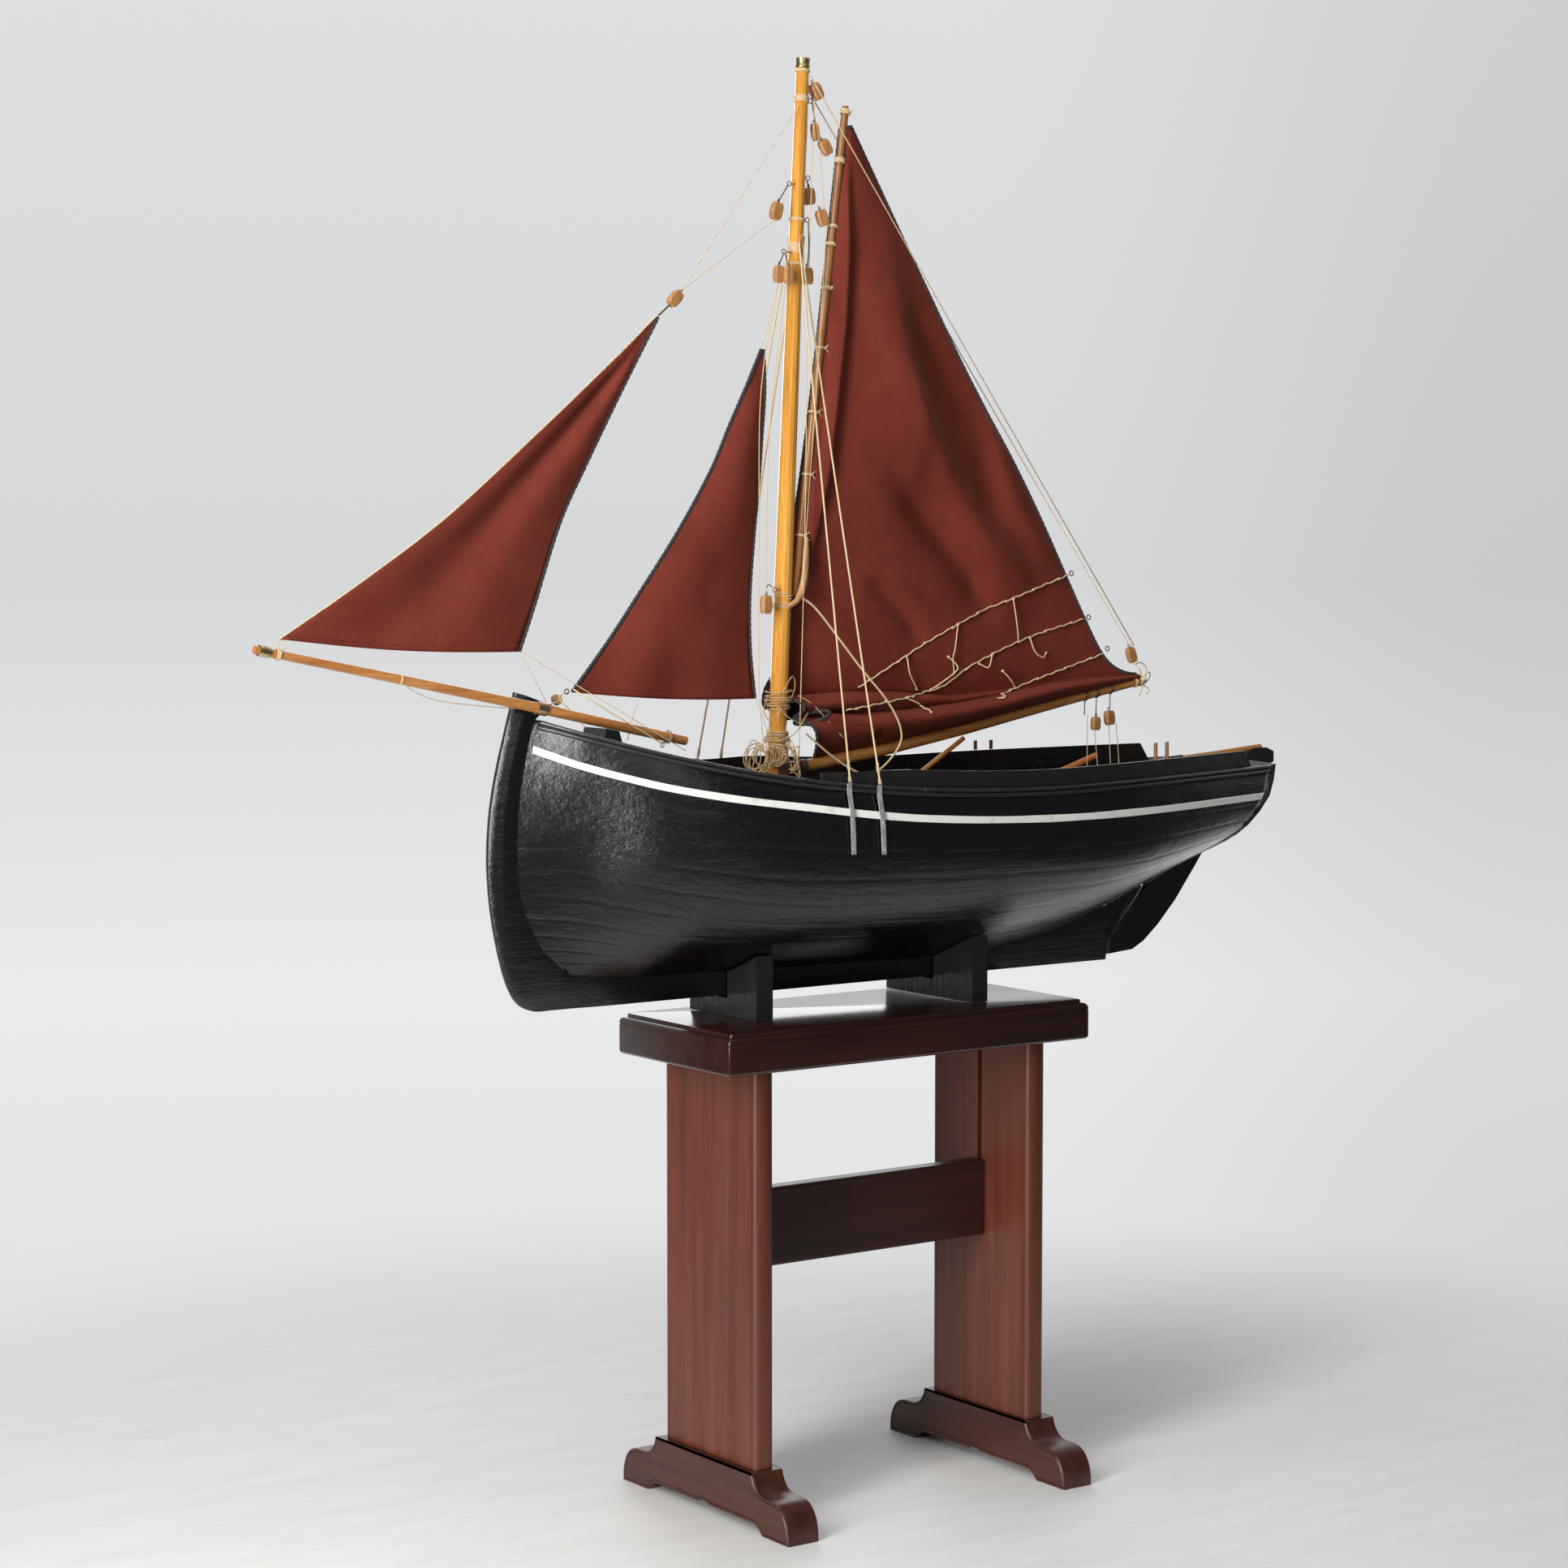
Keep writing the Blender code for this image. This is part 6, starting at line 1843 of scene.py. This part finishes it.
def make_bow_lashings():
    """Turns round the bowsprit at the jib's tack, and the foresail's tack lashing."""
    bm = bmesh.new()
    add_ring(bm, at(0.709, BOWSPRIT_Y, 0.9447), BOWSPRIT_AXIS, 0.0056, 0.0014, 3, 0.004)
    add_ring(bm, at(0.7045, BOWSPRIT_Y, 0.954), (0, 1, 0), 0.005, 0.0012)
    add_ring(bm, at(0.5718, BOWSPRIT_Y, 0.9166), BOWSPRIT_AXIS, 0.0054, 0.001, 2, 0.002)
    for points in TACK_TAILS:
        wire_run(bm, points, 0.0008)
    add_ring(bm, at(*TACK_BEAD), (0.9, 0.2, 0.4), 0.0054, 0.0011, 5, 0.005)
    mesh_piece("bow_lashings", bm, "boat", "cord")
    half = Vector((0.9, 0.0, 0.4)).normalized() * 0.006
    centre = at(*TACK_BEAD)
    turned_piece("tack_bead", "boat", "plain_wood", centre - half, centre + half, BEAD_PROFILE)


def deck_below_rail(x, drop):
    return hull_point(station_at(x), SHEER_LINE).z - drop


FAIRLEAD_X = (0.256, 0.283)
FAIRLEAD_Y = 0.036
CLEAT_X = (0.222, 0.238)
CLEAT_Y = 0.04


def make_foredeck_fittings():
    """The eyes on stem and foredeck, the fairlead and the cleat."""
    iron = bmesh.new()
    add_ring(iron, at(0.364, 0, 0.8985), (0, 1, 0), 0.0026, 0.0013)
    add_ring(iron, at(0.26, 0.0245, 0.84), (1, 0, 0.2), 0.003, 0.001)
    add_tube(iron, [at(0.25, 0.0235, 0.844), at(0.26, 0.024, 0.8425)], 0.0007, 8)
    mesh_piece("bow_eyes", iron, "boat", "wire")
    z = deck_below_rail(0.268, 0.003)
    turned_piece("foredeck_fairlead", "boat", "pale_wood", at(FAIRLEAD_X[0], FAIRLEAD_Y, z),
                 at(FAIRLEAD_X[1], FAIRLEAD_Y, z + 0.0035), FAIRLEAD_PROFILE)
    cleat = bmesh.new()
    z = deck_below_rail(0.23, 0.001)
    horn_ends = at(CLEAT_X[0], CLEAT_Y, z + 0.004), at(CLEAT_X[1], CLEAT_Y, z + 0.0048)
    add_turned(cleat, *horn_ends, HORN_PROFILE, 14)
    add_turned(cleat, at(0.23, CLEAT_Y, z - 0.002), at(0.23, CLEAT_Y, z + 0.004), POST_PROFILE, 14)
    mesh_piece("foredeck_cleat", cleat, "boat", "wire")


def rudder_cheek_section(side, x, low, high):
    inner, outer = side * 0.005, side * 0.008
    return [at(x, inner, low), at(x, inner, high), at(x, outer, high), at(x, outer, low)]


# x, underside, top
RUDDER_CHEEK_ROWS = ((-0.596, 0.785, 0.801), (-0.61, 0.78, 0.805), (-0.63, 0.783, 0.805),
                     (-0.642, 0.787, 0.8))
SHEET_KNOT = (-0.3805, 0.01, 0.7818)
SHEET_BOW = (
    ((-0.3805, 0.01, 0.782), (-0.374, 0.012, 0.786), (-0.372, 0.014, 0.782), (-0.379, 0.011, 0.781)),
    ((-0.3805, 0.01, 0.782), (-0.387, 0.012, 0.787), (-0.39, 0.014, 0.783), (-0.382, 0.011, 0.781)),
    ((-0.3805, 0.01, 0.7815), (-0.376, 0.016, 0.78), (-0.37, 0.02, 0.779)),
    ((-0.3805, 0.01, 0.7815), (-0.385, 0.016, 0.78), (-0.393, 0.02, 0.779)),
)


def make_stern_fittings():
    """The tiller's sleeve, the rudder's cheeks and the bow in the mainsheet's end."""
    turned_piece("tiller_sleeve", "rudder_unit", "trim_black", at(-0.5, 0, 0.7964),
                 at(-0.4715, 0, 0.7948), SLEEVE_PROFILE)
    make_cheeks("_rudder_cheek", "rudder_unit", "trim_black", rudder_cheek_section,
                RUDDER_CHEEK_ROWS)
    bow = bmesh.new()
    add_runs(bow, SHEET_BOW, 0.0007)
    add_ball(bow, at(*SHEET_KNOT), 0.002)
    mesh_piece("sheet_bow_knot", bow, "boat", "cord")


RIVET_LINES = (4.32, 4.85)  # line values of a chainplate's two rivets


def make_rivets():
    """Round heads near both ends of each chainplate, and the eye at its top."""
    bm = bmesh.new()
    for side, word in SIDES:
        for place in ("fore", "aft"):
            low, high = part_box(f"{word}_{place}_chainplate")
            x = (low[0] + high[0]) / 2 - BOAT.x
            station = station_at(x)
            for line in RIVET_LINES:
                point = hull_point(station, line)
                add_ball(bm, at(x, side * (point.y + 0.0043), point.z), 0.0014, (1, 0.6, 1))
            top = hull_point(station, SHEER_LINE)
            eye = at(x - 0.003, side * (top.y + 0.0056), top.z + 0.0008)
            add_ring(bm, eye, (1, 0, 0), 0.0022, 0.0011, steps=16)
    mesh_piece("chainplate_rivets", bm, "boat", "iron")


ROUNDED_NODES = ("fore_cradle", "aft_cradle", "port_coaming", "starboard_coaming", "transom", "bowsprit_bitt")

make_camera()
make_lights()
make_world()
make_floor()
dress_cad_nodes()
for rounded_node in ROUNDED_NODES:
    round_off(frame["nodes"][rounded_node], 0.0006, 3)
make_hull()
make_backbone()
make_rails()
make_stripes()
make_slab()
make_legs()
make_feet()
make_mainsail()
make_headsails()
make_shrouds()
make_topping_lift()
make_running_lines()
make_blocks()
make_mast_ironwork()
make_cheeks("_hound_cheek", "boat", "varnished_spar", hound_section, HOUND_ROWS)
make_mast_cap()
make_gaff()
make_gaff_lashings()
make_gaff_jaws()
make_boom_fittings()
make_mast_foot()
make_bow_lashings()
make_foredeck_fittings()
make_stern_fittings()
make_rivets()
